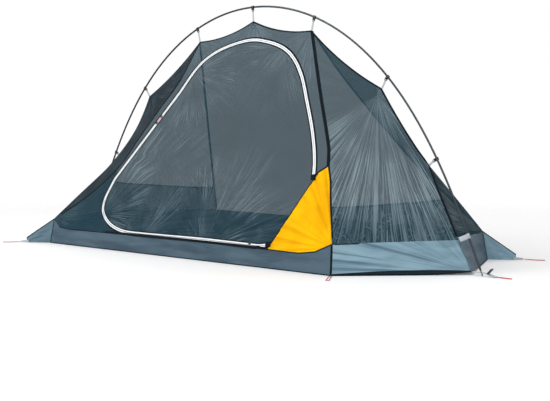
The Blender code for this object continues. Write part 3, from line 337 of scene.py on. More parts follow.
def clothNodes(tree, look):
    # tight plain weave with a ripstop grid, satin where it creases; the fold noise paints shade into the fold
    # hollows
    look = {**clothShared, **look}
    wide = noise(uvPlace(tree, "cloth", *look["folds"]), 1.0, 4.0, 0.6)
    fine = noise(uvPlace(tree, "cloth", 60, 60))
    grid = weave(uvPlace(tree, "cloth"), look["ripstop"], "MAXIMUM")
    # the darker stop falls in the hollows of the fold bump: painted shade, with some random tone
    layers = [ramp(wide, [(0.36, look["shade"]), (0.62, look["colour"])]),
              ramp(grid, [(0.93, 1), (1.0, 1.12)])]
    # painted shade along creases that fan out from a corner
    if "rays" in look:
        rays = noise(uvPlace(tree, "fan", *look["rays"]), 1.0, 3.0, 0.2)
        layers.append(ramp(rays, [(0.34, look["paintedCreaseShade"]), (0.52, 1)]))
    if "edge" in look:
        layers.append(ramp(uvAxis(tree, "edge", 0), [(0.96, look["edge"]), (1.0, 1)]))
    folds = (wide, look["strength"], look["depth"])
    threads = (weave(uvPlace(tree, "cloth"), look["thread"]), 0.1, 0.0002)
    return {"Specular IOR Level": look["shine"], "Sheen Weight": look["sheen"],
            "Roughness": mapRange(fine, 0.3, 0.7, look["roughness"] - 0.07, look["roughness"] + 0.1),
            "Base Color": multiplied(*layers), "Normal": bump(folds, (fine, 0.15, 0.001), threads)}


def webbingNodes(tree, look):
    # woven tape: fine ribs that cross aslant, and patches of wear
    both = maths("MULTIPLY", *[bands(uvPlace(tree, "cloth", turn=turn), 0.0016) for turn in (0.6, -0.6)])
    shades = ramp(both, [(0.0, look["dark"]), (0.7, look["colour"])])
    worn = ramp(noise(uvPlace(tree, "cloth", 30, 30)), [(0.3, 0.82), (0.7, 1.06)])
    return {"Roughness": 0.78, "Base Color": multiplied(shades, worn), "Normal": bump((both, 0.6, 0.0004))}


def zipNodes(tree, look):
    # white coated tape with the coil's teeth beside the slit
    beside = mapRange(maths("ABSOLUTE", uvAxis(tree, "zip", 1)), 0.0022, 0.0028, 1.0, 0.0)
    coil = maths("MULTIPLY", bands(uvPlace(tree, "zip"), look["pitch"]), beside)
    shades = ramp(coil, [(0.0, look["colour"]), (1.0, look["teeth"])])
    worn = ramp(noise(uvPlace(tree, "zip", 18, 60)), [(0.3, 0.94), (0.6, 1)])
    return {"Roughness": 0.34, "Base Color": multiplied(shades, worn), "Normal": bump((coil, 0.35, 0.0005))}


def metalNodes(tree, look):
    # drawn tube: faint scratches and patches of wear
    colour, roughness = look["colour"], look["roughness"]
    scratch = noise(objectPlace(tree, (40, 260, 40)), 1.0, 2.0)
    patch = noise(objectPlace(tree, (14, 14, 14)))
    shades = ramp(patch, [(0.35, colour), (0.75, tuple(min(1.0, v * 1.35) for v in colour))])
    return {"Metallic": 1.0, "Specular Tint": look["rim"], "Base Color": shades,
            "Roughness": mapRange(scratch, 0.3, 0.7, roughness - 0.06, roughness + 0.1),
            "Normal": bump((scratch, 0.05, 0.0001))}


def plasticNodes(tree, look):
    grain = noise(objectPlace(tree, (700, 700, 700)), 1.0, 2.0)
    rub = noise(objectPlace(tree, (60, 60, 60)))
    shades = ramp(rub, [(0.4, look["colour"]), (0.75, look["rubbed"])])
    return {"Roughness": 0.42, "Base Color": shades, "Normal": bump((grain, 0.25, 0.0002))}


def cordNodes(tree, look):
    # braided sheath with a pale fleck in it
    braid = bands(objectPlace(tree), look["braid"], "DIAGONAL")
    flecks = noise(objectPlace(tree, (420, 420, 420)), 1.0, 1.0)
    shades = ramp(flecks, [(0.5, look["colour"]), (0.66, look["fleck"])])
    return {"Roughness": 0.62, "Base Color": shades, "Normal": bump((braid, 0.5, 0.0004))}


makers = ((nettingNodes, netLooks), (clothNodes, clothLooks), (webbingNodes, webbingLooks),
          (metalNodes, metalLooks), (zipNodes, {"zipTape": zipPaint}),
          (plasticNodes, {"blackPlastic": plasticPaint}), (cordNodes, {"redCord": cordPaint}))
finishes = {name: newMaterial(name, maker, look) for maker, looks in makers for name, look in looks.items()}
slots = {"slateCloth": "slate_cloth", "darkTrim": "slate_cloth", "blackWebbing": "slate_cloth",
         "paleCloth": "pale_cloth", "beakClothPaintedShade": "pale_cloth", "beakClothPaintedLight": "pale_cloth",
         "floorCloth": "floor_cloth", "pocketCloth": "pocket_cloth", "cornerCloth": "grey_webbing",
         "greyWebbing": "grey_webbing", "zipTape": "reflective_zip", "brightMetal": "pole_metal",
         "blackPlastic": "black_plastic", "redCord": "red_cord", **dict.fromkeys(netLooks, "netting")}


def joinWords(words):
    # stow_pocket makes stowPocket
    first, *others = words.split("_")
    return first + "".join(word.title() for word in others)


def addPiece(bm, name, finish, body="tent", node=None, uv=None, thickness=0.0, offset=0.0):
    # bm becomes a finished object that rides on its body and stands for a CAD node, if one is given
    piece = addMesh(name, bm, finishes[finish])
    piece.data.shade_smooth()
    corners = np.empty(len(piece.data.loops), np.int32)
    piece.data.loops.foreach_get("vertex_index", corners)
    for key, places in (uv or {}).items():
        layer = piece.data.uv_layers.new(name=key)
        layer.data.foreach_set("uv", np.asarray(places, np.float32)[corners].ravel())
    if thickness:
        wall = piece.modifiers.new("wall", "SOLIDIFY")
        wall.thickness = thickness
        wall.offset = offset
    if node:
        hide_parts(node)
    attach(piece, body)
    return piece


print("cloth panels")


def cadMesh(name):
    bm = bmesh.new()
    bm.from_mesh(nodes[name].data)
    bmesh.ops.remove_doubles(bm, verts=bm.verts[:], dist=0.00002)
    return bm


def sheetFaces(name, rim=0.0009):
    # the side of a thin CAD sheet that faces out of the tent, as its own bmesh
    bm = cadMesh(name)
    thin = [f for f in bm.faces if min(e.calc_length() for e in f.edges) < rim]
    bmesh.ops.delete(bm, geom=thin, context="FACES")
    waiting, dropped = set(bm.faces), []
    while waiting:
        island, edge = [], [waiting.pop()]
        while edge:
            island.append(edge.pop())
            beside = {face for e in island[-1].edges for face in e.link_faces} & waiting
            waiting -= beside
            edge += beside
        lean = sum(f.normal.dot(f.calc_center_median() - tentMiddle) * f.calc_area() for f in island)
        if lean < 0:
            dropped += island
    bmesh.ops.delete(bm, geom=dropped, context="FACES")
    bm.normal_update()
    return bm


def flatFaces(name, way):
    # the side of a nearly flat CAD sheet that faces the given way
    bm = cadMesh(name)
    bmesh.ops.delete(bm, geom=[f for f in bm.faces if f.normal.dot(way) < 0.5], context="FACES")
    return bm


def borderBeside(vertex):
    return [e.other_vert(vertex) for e in vertex.link_edges if e.is_boundary]


def borderStep(vertex, before):
    return next(v for v in borderBeside(vertex) if v is not before)


def borderCorners(bm):
    # border points where the outline turns sharply, unlike its neighbours
    turns = {}
    for v in bm.verts:
        if v.is_boundary:
            a, b = borderBeside(v)
            turns[v] = (v.co - a.co).angle(b.co - v.co, 0.0)
    sharp, slight = radians(50), radians(16)
    found = set()
    for v, turn in turns.items():
        gentle = [turns[beside] for beside in borderBeside(v) if turns[beside] < sharp]
        if turn > sharp or turn > slight and turn > 1.9 * max(gentle, default=0):
            found.add(v.co.to_tuple())
    return found


def relax(bm, steps, held):
    # draws every free point towards the middle of its neighbours, as tight cloth lies
    bm.verts.index_update()
    places = np.array([v.co for v in bm.verts])
    ends = np.array([[v.index for v in e.verts] for e in bm.edges])
    free = np.array([not held(v) for v in bm.verts])
    count = np.bincount(ends.ravel(), minlength=len(places))
    for _ in range(steps):
        total = np.stack([
            np.bincount(ends[:, 0], places[ends[:, 1], i], len(places))
            + np.bincount(ends[:, 1], places[ends[:, 0], i], len(places))
            for i in range(3)], axis=1)
        places[free] = (total / count[:, None])[free]
    for v, place in zip(bm.verts, places):
        v.co = place


def nearLine(place, line, reach=0.0015):
    start, stop = line
    span = stop - start
    share = max(0.0, min(1.0, (place - start).dot(span) / span.length_squared))
    return (start + span * share - place).length < reach


def refine(bm, levels, steps, creases=(), stops=()):
    # subdivides with a smooth border, which turns only at its corners and at the stops
    corners = borderCorners(bm)
    corners |= {v.co.to_tuple() for v in bm.verts
                if v.is_boundary and any((v.co - Vector(stop)).length < 0.012 for stop in stops)}
    lines = [(Vector(a), Vector(b)) for a, b in creases]
    for _ in range(levels):
        old = {v.co.to_tuple() for v in bm.verts}
        bmesh.ops.subdivide_edges(bm, edges=bm.edges[:], cuts=1, use_grid_fill=True)
        moves = []
        for v in bm.verts:
            if v.co.to_tuple() in old or not v.is_boundary:
                continue
            a, b = borderBeside(v)
            beyond = []
            for near, far in ((a, b), (b, a)):
                if near.co.to_tuple() in corners:
                    beyond.append(2 * near.co - far.co)
                else:
                    beyond.append(borderStep(borderStep(near, v), near).co)
            moves.append((v, (9 * (a.co + b.co) - beyond[0] - beyond[1]) / 16))
        for v, place in moves:
            v.co = place
        if steps:
            relax(bm, steps, lambda v: v.is_boundary or any(nearLine(v.co, line) for line in lines))
    bm.normal_update()


def panelAxes(bm):
    area = sum(f.calc_area() for f in bm.faces)
    out = sum((f.normal * f.calc_area() for f in bm.faces), Vector()).normalized()
    middle = sum((f.calc_center_median() * f.calc_area() for f in bm.faces), Vector()) / area
    level = up.cross(out)
    level = level.normalized() if level.length > 0.05 else Vector((1, 0, 0))
    return middle, level, out.cross(level), out


def flatPlaces(bm, axes):
    middle, level, rise, _ = axes
    return np.array([((v.co - middle).dot(level), (v.co - middle).dot(rise)) for v in bm.verts])


def fanPlaces(flat, axes, anchors):
    # angle round the nearest anchor and distance from it; an anchor's stretch makes its fan shorter
    middle, level, rise, _ = axes
    fans = []
    for i, (anchor, stretch) in enumerate(anchors):
        away = Vector(anchor) - middle
        spread = flat - np.array([away.dot(level), away.dot(rise)])
        distance = np.hypot(spread[:, 0], spread[:, 1])
        fans.append(np.stack([np.arctan2(spread[:, 0], -spread[:, 1]) + 9 * i, distance * stretch], axis=1))
    fans = np.stack(fans)
    nearest = fans[:, :, 1].argmin(axis=0)
    return fans[nearest, np.arange(len(flat))]


def nearTree(places):
    tree = KDTree(len(places))
    for i, place in enumerate(places):
        tree.insert(place, i)
    tree.balance()
    return tree


def edgeDistances(bm, counts=None):
    tree = nearTree([v.co for v in bm.verts if v.is_boundary and (counts is None or counts(v))])
    return np.array([tree.find(v.co)[2] for v in bm.verts])


def wrinkle(bm, axes, fans=(), waves=(), fade=0.02, seed=1):
    # fans: anchor, folds per radian, depth, reach. waves: turn, length, depth
    flat = flatPlaces(bm, axes)
    random = np.random.default_rng(seed)
    height = np.zeros(len(flat))
    for anchor, folds, depth, reach in fans:
        turn, distance = fanPlaces(flat, axes, [(anchor, 1)]).T
        part = np.zeros(len(flat))
        for k in range(5):
            pace = folds * (0.55 + 0.35 * k)
            wander = 0.35 * np.sin(distance * (6 + 4 * k) + random.uniform(0, 6.3))
            part += np.sin(turn * pace + wander + random.uniform(0, 6.3)) / (1 + 0.6 * k)
        rise = np.minimum(distance / (0.35 * reach), 1)
        height += part * depth * 0.5 * rise * np.exp(-((distance / reach) ** 2))
    for turn, length, depth in waves:
        angle = radians(turn)
        along = flat[:, 0] * cos(angle) + flat[:, 1] * sin(angle)
        across = -flat[:, 0] * sin(angle) + flat[:, 1] * cos(angle)
        for k in range(3):
            pace = 2 * pi / (length * (1 - 0.24 * k))
            wander = 1.2 * np.sin(across * (2.1 + k) + random.uniform(0, 6.3))
            height += depth / (1 + k) * np.sin(along * pace + wander + random.uniform(0, 6.3))
    height *= np.clip(edgeDistances(bm) / fade, 0, 1) ** 1.5
    for v, lift in zip(bm.verts, height):
        v.co += v.normal * float(lift)
    bm.normal_update()


# cloth is the thickness of the walls and the stow pocket
hemLook = {"thickness": 0.0014, "offset": -0.8, "above": 0.145, "seam": 0.004, "cloth": 0.0006}
fullness = {"least": 0.32, "given": 0.34}  # shares of its rectangle that a sheet has to fill


def trim(bm, name, width, keep, thickness=hemLook["thickness"], body="tent", offset=0.0):
    # flat binding folded over the border of a panel, where keep says so
    ring = bm.copy()
    edging = bmesh.ops.inset_region(ring, faces=ring.faces[:], thickness=width, use_boundary=True,
                                    use_even_offset=False)["faces"]
    edging = {f for f in edging if keep(f.calc_center_median())}
    bmesh.ops.delete(ring, geom=[f for f in ring.faces if f not in edging], context="FACES")
    uv = {"cloth": flatPlaces(ring, panelAxes(ring))}
    return addPiece(ring, name, "darkTrim", body, uv=uv, thickness=thickness, offset=offset)


def addSheet(bm, name, finish, node, axes, fan=None, edge=None, thickness=0.0, body="tent",
             flat=None, offset=-1.0):
    # a panel as a sheet, with its size and area printed; a panel with a large hole in it is given a smaller
    # rectangle
    flat = flatPlaces(bm, axes) if flat is None else flat
    uv = {"cloth": flat}
    if edge is not None:
        uv["edge"] = edge
    if fan:
        uv["fan"] = fanPlaces(flat, axes, fan)
    area = sum(f.calc_area() for f in bm.faces)
    piece = addPiece(bm, name, finish, body, node, uv, thickness, offset)
    width, length = np.ptp(flat, axis=0)
    if area < fullness["least"] * width * length:
        shrink = sqrt(area / (fullness["given"] * width * length))
        width, length = width * shrink, length * shrink
    area = min(area, width * length)
    print(f"  {name}: {width:.3f} x {length:.3f} m, {area:.3f} square metres")


zipStops = [(-0.602, -0.3269, 0.333), (-0.335, -0.1447, 0.747)]
# fan: anchor, stretch. fans: anchor, folds per radian, depth, reach. waves: turn, length, depth
nettingPanels = {
    "front": {"finish": "netPlain", "hem": 0.0075, "seed": 3, "stops": zipStops,
              "hemmed": lambda p: p.z > hemLook["above"] or p.x > -0.56,
              "fan": [(wallTops["A"], 2.4), (tips[2], 2.2), (tips[3], 1.6), (tips[4], 1.6)],
              "fans": [(wallTops["A"], 30, 0.0024, 0.4), (tips[3], 22, 0.0022, 0.16),
                       (tips[4], 24, 0.0022, 0.18), (tips[2], 20, 0.0018, 0.14)]},
    "right_end": {"finish": "netGathered", "hem": 0.0075, "seed": 5, "fan": [((0.715, -0.02, 0.71), 1)],
                  "fans": [(tips[5], 30, 0.003, 0.42), (tips[6], 16, 0.0022, 0.25),
                           (wallTops["B"], 16, 0.002, 0.22)]},
    "left_end": {"finish": "netGathered", "hem": 0.0055, "seed": 7, "fan": [((-0.715, 0.02, 0.71), 1)],
                 "fans": [(tips[1], 30, 0.003, 0.42), (tips[0], 16, 0.0022, 0.25)]},
    "right_back": {"finish": "netHalfDense", "hem": 0.0065, "seed": 9,
                   "fan": [(wallTops["D"], 1), (tips[5], 1.4)], "creases": [(tips[6], wallTops["D"])],
                   "fans": [(wallTops["D"], 24, 0.0022, 0.4), (tips[5], 20, 0.002, 0.2)]},
    "left_front": {"finish": "netDense", "hem": 0.0065, "seed": 11,
                   "fan": [(wallTops["A"], 1), (tips[1], 1.4)], "creases": [(tips[0], wallTops["A"])],
                   "fans": [(wallTops["A"], 24, 0.0022, 0.4), (tips[1], 20, 0.002, 0.2)]},
    "back": {"finish": "netPlain", "hem": 0.005, "seed": 13,
             "fan": [(wallTops["E"], 1), (wallTops["D"], 1), (tips[2], 1.6), (tips[3], 1.6), (tips[4], 1.6)],
             "fans": [(wallTops["E"], 16, 0.0022, 0.3), (wallTops["D"], 16, 0.0022, 0.3),
                      (tips[3], 20, 0.002, 0.16)]},
    "door": {"finish": "netDoor", "hem": 0.0055, "seed": 17, "body": "door",
             "hemmed": lambda p: not nearLine(p, doorHinge, 0.007), "stops": zipStops,
             "fan": [((-0.62, -0.4, 0.16), 1), ((-0.285, -0.1049, 0.838), 2.0),
                     ((0.22, -0.05, 0.93), 2.4), ((-0.3, -0.42, 0.06), 1.5), ((0.08, -0.41, 0.05), 1.5)],
             "fans": [((-0.6, -0.4, 0.18), 18, 0.0024, 0.35)], "waves": [(75, 0.34, 0.002)]},
}
panelMeshes = {}
for word, spec in nettingPanels.items():
    name, node, body = joinWords(f"{word}_net"), f"{word}_mesh", spec.get("body", "tent")
    bm = sheetFaces(node)
    refine(bm, 4, 6, spec.get("creases", ()), spec.get("stops", ()))
    axes = panelAxes(bm)
    wrinkle(bm, axes, spec["fans"], spec.get("waves", ()), seed=spec["seed"])
    if body == "door":
        for v in bm.verts:
            if nearLine(v.co, doorHinge, 0.004):
                v.co -= frontOut * 0.0004  # the middle of the hinge, so that it clears the pocket when open
    hemmed = spec.get("hemmed", lambda p: p.z > hemLook["above"])
    hem = trim(bm, f"{name}Hem", spec["hem"], hemmed, body=body, offset=hemLook["offset"])
    panelMeshes[name] = bm.copy()
    addSheet(bm, name, spec["finish"], node, axes, spec["fan"], body=body)

print("bathtub walls and floor")
slateWall = {"finish": "slateCloth", "levels": 4, "waves": [(86, 0.06, 0.0012)], "fans": []}
paleWall = {"finish": "paleCloth", "levels": 2, "waves": [(84, 0.038, 0.001)]}
tubWalls = {  # band is the ends of the black floor band
    "front": {**slateWall, "fans": [(wallTops["A"], 16, 0.002, 0.22), (floorCorners["B"], 16, 0.002, 0.22)]},
    "right": {**paleWall, "band": ("B", "C"), "fans": [(floorCorners["C"], 46, 0.003, 0.45)]},
    "right_back": {**slateWall, "waves": [(80, 0.06, 0.0012)]},
    "back": slateWall,
    "left": {**paleWall, "band": ("E", "F"), "fans": [(floorCorners["F"], 46, 0.003, 0.45)]},
    "left_front": {**slateWall, "waves": [(80, 0.06, 0.0012)]},
}


def bandShare(bm, ends, height=0.013):
    # 0 at the ground and 1 at the top of the black floor band, which is deepest mid-wall
    start, stop = (Vector(floorCorners[end]) for end in ends)
    span = stop - start
    found = []
    for v in bm.verts:
        share = min(max((v.co - start).dot(span) / span.length_squared, 0.0), 1.0)
        top = height * sin(pi * min(0.1 + 0.86 * share, 1.0)) ** 0.6 + 0.0005
        found.append(((v.co.z - share * floorCorners[ends[1]][2]) / top, 0.0))
    return np.array(found)


for word, spec in tubWalls.items():
    name, node = joinWords(f"{word}_wall"), f"tub_wall_{word}"
    bm = sheetFaces(node)
    refine(bm, spec["levels"], spec["levels"])
    axes = panelAxes(bm)
    wrinkle(bm, axes, spec["fans"], spec["waves"], fade=0.012, seed=len(name))
    edge, fan = None, None
    if "band" in spec:
        edge = bandShare(bm, spec["band"])
        fan = [(floorCorners[spec["band"][1]], 1)]
    seam = trim(bm, f"{name}Seam", hemLook["seam"], lambda p: p.z < 0.006 or abs(p.y) > 0.3)
    addSheet(bm, name, spec["finish"], node, axes, fan, edge, hemLook["cloth"])

floorLook = {"levels": 4, "steps": 2, "fade": 0.04, "seed": 23, "waves": [(78, 0.17, 0.0022)],
             "fans": [(floorCorners["A"], 14, 0.004, 0.6), (floorCorners["B"], 14, 0.004, 0.6),
                      (floorCorners["D"], 12, 0.004, 0.5)]}
bm = flatFaces("floor_sheet", up)
refine(bm, floorLook["levels"], floorLook["steps"])
axes = panelAxes(bm)
flat = flatPlaces(bm, axes)
before = [v.co.z for v in bm.verts]
wrinkle(bm, axes, floorLook["fans"], floorLook["waves"], floorLook["fade"], floorLook["seed"])
for v, z in zip(bm.verts, before):
    v.co.z = max(v.co.z, z)
addSheet(bm, "floorCloth", "floorCloth", "floor_sheet", axes, flat=flat)

print("stow pocket and end pockets")
stowLook = {"fans": [((0.77, -0.372, 0.105), 26, 0.01, 0.4)], "fade": 0.018, "seed": 29,
            "fan": [((0.77, -0.372, 0.105), 1)], "binding": 0.004, "bindingThickness": 0.001}
bm = flatFaces("stow_pocket", frontOut)
refine(bm, 4, 4)
axes = panelAxes(bm)
wrinkle(bm, axes, stowLook["fans"], fade=stowLook["fade"], seed=stowLook["seed"])
binding = trim(bm, "stowPocketBinding", stowLook["binding"], lambda p: nearLine(p, doorHinge, 0.006),
               stowLook["bindingThickness"])
addSheet(bm, "stowPocket", "pocketCloth", "stow_pocket", axes, stowLook["fan"],
         thickness=hemLook["cloth"])

endPocketLook = {"slack": 0.01, "height": 0.14, "gap": 0.0014, "hem": 0.006}
for side in ("right", "left"):
    # the low net pocket inside an end panel: sewn in at its foot and sides, slack along its hem
    name, node = f"{side}EndPocket", f"end_pocket_{side}"
    solid = sheetFaces(node)
    left, right = sorted(sorted(map(Vector, borderCorners(solid)), key=lambda p: p.z)[-2:],
                         key=lambda p: p.x)
    solid.free()
    bm = panelMeshes[f"{side}EndNet"]
    axes = panelAxes(bm)
    out = axes[3]
    rise = (right - left).cross(out).normalized()
    rise *= 1 if rise.z > 0 else -1
    bmesh.ops.bisect_plane(bm, geom=bm.verts[:] + bm.edges[:] + bm.faces[:], plane_co=left, plane_no=rise,
                           clear_outer=True)
    bm.normal_update()
    apart = edgeDistances(bm, lambda v: (v.co - left).dot(rise) < -0.001)
    for v, gap in zip(bm.verts, apart):
        high = max(0.0, 1 + (v.co - left).dot(rise) / endPocketLook["height"])
        slack = endPocketLook["slack"] * min(gap / 0.08, 1.0) * high ** 2
        v.co -= out * (endPocketLook["gap"] + slack)
    bm.normal_update()
    hem = trim(bm, f"{name}Hem", endPocketLook["hem"], lambda p: abs((p - left).dot(rise)) < 0.012)
    addSheet(bm, name, "netPlain", node, axes, [(tips[5], 1)])

print("zip")
zipRoute = [
    (0.4491, -0.3939, 0.1002), (0.4, -0.3993, 0.091), (0.06, -0.408, 0.094), (-0.33, -0.4203, 0.092),
    (-0.45, -0.4213, 0.098), (-0.54, -0.4139, 0.122), (-0.596, -0.4008, 0.157), (-0.63, -0.3816, 0.205),
    (-0.622, -0.354, 0.27), (-0.602, -0.3269, 0.333), (-0.335, -0.1447, 0.747), (-0.285, -0.1049, 0.838),
    (-0.228, -0.0771, 0.9), (-0.133, -0.0545, 0.947), (0.016, -0.0379, 0.976), (0.14, -0.0419, 0.958),
    (0.236, -0.0533, 0.924), (0.312, -0.0738, 0.87), (0.38, -0.1055, 0.79), (0.435, -0.1431, 0.697),
    (0.509, -0.196, 0.566), (0.56, -0.2434, 0.45), (0.5814, -0.2787, 0.3647)]
zipLook = {"thickness": 0.0012, "rim": 0.0016, "step": 0.002}


def smoothCurve(points, parts=10):
    # a smooth curve through the given points
    places = [np.array(p, float) for p in points]
    ends = [2 * places[0] - places[1], *places, 2 * places[-1] - places[-2]]
    fine = [places[0]]
    for before, start, stop, after in zip(ends, ends[1:], ends[2:], ends[3:]):
        bend = 2 * before - 5 * start + 4 * stop - after
        twist = 3 * start - before - 3 * stop + after
        for t in np.linspace(1 / parts, 1, parts):
            fine.append(0.5 * (2 * start + (stop - before) * t + bend * t**2 + twist * t**3))
    return np.array(fine)


def lengthsAlong(points):
    return np.concatenate([[0], np.cumsum(np.linalg.norm(np.diff(points, axis=0), axis=1))])


def pick(points, marks, at):
    # the place or places at the given marks of a line
    return np.stack([np.interp(at, marks, points[:, i]) for i in range(3)], axis=-1)


def evenly(points, step):
    points = np.asarray(points, float)
    lengths = lengthsAlong(points)
    return pick(points, lengths, np.linspace(0, lengths[-1], max(2, round(lengths[-1] / step) + 1)))


def zipPlaces(bm):
    # how far each point is along the zip, and how far beside it
    line = evenly(smoothCurve(zipRoute), zipLook["step"])
    tree = nearTree(line)
    found = []
    for v in bm.verts:
        index = min(max(tree.find(v.co)[1], 1), len(line) - 2)
        way = Vector(line[index + 1] - line[index - 1]).normalized()
        apart = v.co - Vector(line[index])
        past = apart.dot(way)
        found.append((index * zipLook["step"] + past, (apart - way * past).length))
    return np.array(found)


for node, body in (("zip_tape_canopy", "tent"), ("zip_tape_door", "door")):
    tape = sheetFaces(node, zipLook["rim"])
    refine(tape, 2, 0, stops=zipStops)
    uv = {"zip": zipPlaces(tape)}
    addPiece(tape, joinWords(node), "zipTape", body, node, uv, zipLook["thickness"], -1.0)

print("webbing")


def ribbon(name, line, across, width, thickness, finish="greyWebbing", body="tent", node=None, columns=4,
           taper=None):
    # a flat tape along a line; across is the direction of its width
    line, across = np.asarray(line, float), Vector(across)
    marks, lengths = np.arange(len(line)), lengthsAlong(line)
    bm = bmesh.new()
    bmesh.ops.create_grid(bm, x_segments=len(line) - 1, y_segments=columns, size=0.5)
    uv = []
    for v in bm.verts:
        share, side = v.co.x + 0.5, v.co.y
        at = share * marks[-1]
        wide = width * (np.interp(share, *taper) if taper else 1.0)
        uv.append((np.interp(at, marks, lengths), side * wide))
        v.co = Vector(pick(line, marks, at)) + across * side * wide
    return addPiece(bm, name, finish, body, node, {"cloth": uv}, thickness)


def torus(name, centre, axis, radius, wire, finish="blackPlastic", body="tent", sides=24, wireSides=10):
    centre, axis = Vector(centre), Vector(axis).normalized()
    reach = axis.orthogonal().normalized()
    bm = bmesh.new()
    facing = axis.cross(reach).to_track_quat("Z", "Y").to_matrix().to_4x4()
    turn = Matrix.Translation(centre + reach * radius) @ facing
    ring = bmesh.ops.create_circle(bm, segments=wireSides, radius=wire, matrix=turn)
    bmesh.ops.spin(bm, geom=ring["verts"] + bm.edges[:], cent=centre, axis=axis, angle=2 * pi,
                   steps=sides, use_merge=True)
    bmesh.ops.recalc_face_normals(bm, faces=bm.faces[:])
    return addPiece(bm, name, finish, body)


def outFrom(along):
    # square to the pole, away from the tent
    return Vector((-along.z, 0, along.x))


clips = [  # place on the pole, direction along it
    ((-0.9891, 0, 0.4495), (0.4882, 0, 0.8727)), ((-0.7513, 0, 0.7823), (0.6835, 0, 0.73)),
    ((-0.3642, 0, 1.0565), (0.9235, 0, 0.3835)), ((0.0, 0, 1.13), (1, 0, 0)),
    ((0.3642, 0, 1.0565), (0.9235, 0, -0.3835)), ((0.7513, 0, 0.7823), (0.6835, 0, -0.73)),
    ((0.9891, 0, 0.4495), (0.4882, 0, -0.8727)),
]
strapLook = {"foot": 0.0131, "lift": 0.001, "ringDrop": 0.002, "ring": {"radius": 0.0056, "wire": 0.0012},
             "tape": {"width": 0.01, "thickness": 0.0008, "taper": ([0, 0.2, 0.8, 1], [1, 0.94, 0.9, 0.7])}}
for i, (place, along) in enumerate(clips):
    body, along = f"clip_{i + 1}", Vector(along)
    out = outFrom(along)
    head = Vector(place) - out * strapLook["foot"]
    root = Vector(tips[i]) + out * strapLook["lift"]
    line = [root + (head - root) * t for t in np.linspace(0, 1, 13)]
    ribbon(f"ridgeStrap{i + 1}", line, along, body=body, node=f"ridge_strap_{i + 1}", **strapLook["tape"])
    ringPlace = head - out * strapLook["ringDrop"]
    torus(f"clipRing{i + 1}", ringPlace, along.cross(out), body=body, **strapLook["ring"])

lowTab = {"place": Vector((1.135, 0, 0.1509)), "along": Vector((0.4029, 0, -0.9152)), "bend": 0.00545,
          "arm": 0.004, "wrapEnd": 1.42 * pi, "tape": {"width": 0.02, "thickness": 0.0012}}
cornerStrap = {"off": (0.0014, 0, 0.0006), "tape": {"width": 0.012, "thickness": 0.0014}}
for side, word, corner in ((1, "right", "C"), (-1, "left", "F")):
    place, along, arm, bend = (lowTab[key] for key in ("place", "along", "arm", "bend"))
    # the tab's side view: an arm, the turn round the pole, and the run down to the wall
    profile = [(arm, bend), (arm / 2, bend)]
    profile += [(bend * cos(a), bend * sin(a)) for a in np.linspace(pi / 2, lowTab["wrapEnd"], 12)]
    gap = (place - Vector(wallTops["C"])).length
    profile += [(0.0, -bend - 0.0015)] + [(0.0, -d) for d in np.linspace(bend + 0.004, gap - 0.001, 7)]
    flip = Matrix.Diagonal((side, 1, 1))
    line = [flip @ (place + Vector((0, y, 0)) + outFrom(along) * o) for y, o in profile]
    ribbon(f"lowTab{word.title()}", line, flip @ along, node=f"low_tab_{word}", **lowTab["tape"])
    # the strap that runs down the corner seam from the tab to the foot strap
    top, foot = Vector(wallTops[corner]), Vector(floorCorners[corner])
    run = [top + (foot - top) * t + flip @ Vector(cornerStrap["off"]) for t in np.linspace(0.0, 1.0, 9)]
    ribbon(f"cornerBinding{word.title()}", run, (0, 1, 0), finish="cornerCloth", **cornerStrap["tape"])

footStrap = {"end": 1.262, "low": 0.001, "eyeletHeight": 0.013, "eyelet": {"radius": 0.0073, "wire": 0.0009}}
for side, word in ((1, "right"), (-1, "left")):
    node = f"foot_strap_{word}"
    bm = cadMesh(node)
    bmesh.ops.dissolve_limit(bm, angle_limit=radians(4), verts=bm.verts[:], edges=bm.edges[:])
    bmesh.ops.triangulate(bm, faces=bm.faces[:])
    uv = [(v.co.x, v.co.y) for v in bm.verts]
    strap = addPiece(bm, f"footStrap{word.title()}", "greyWebbing", node=node, uv={"cloth": uv})
    strap.data.set_sharp_from_angle(angle=radians(40))
    torus(f"eyeletRim{word.title()}", (side * pivotX, 0, footStrap["eyeletHeight"]), up, finish="brightMetal",
          sides=28, wireSides=8, **footStrap["eyelet"])

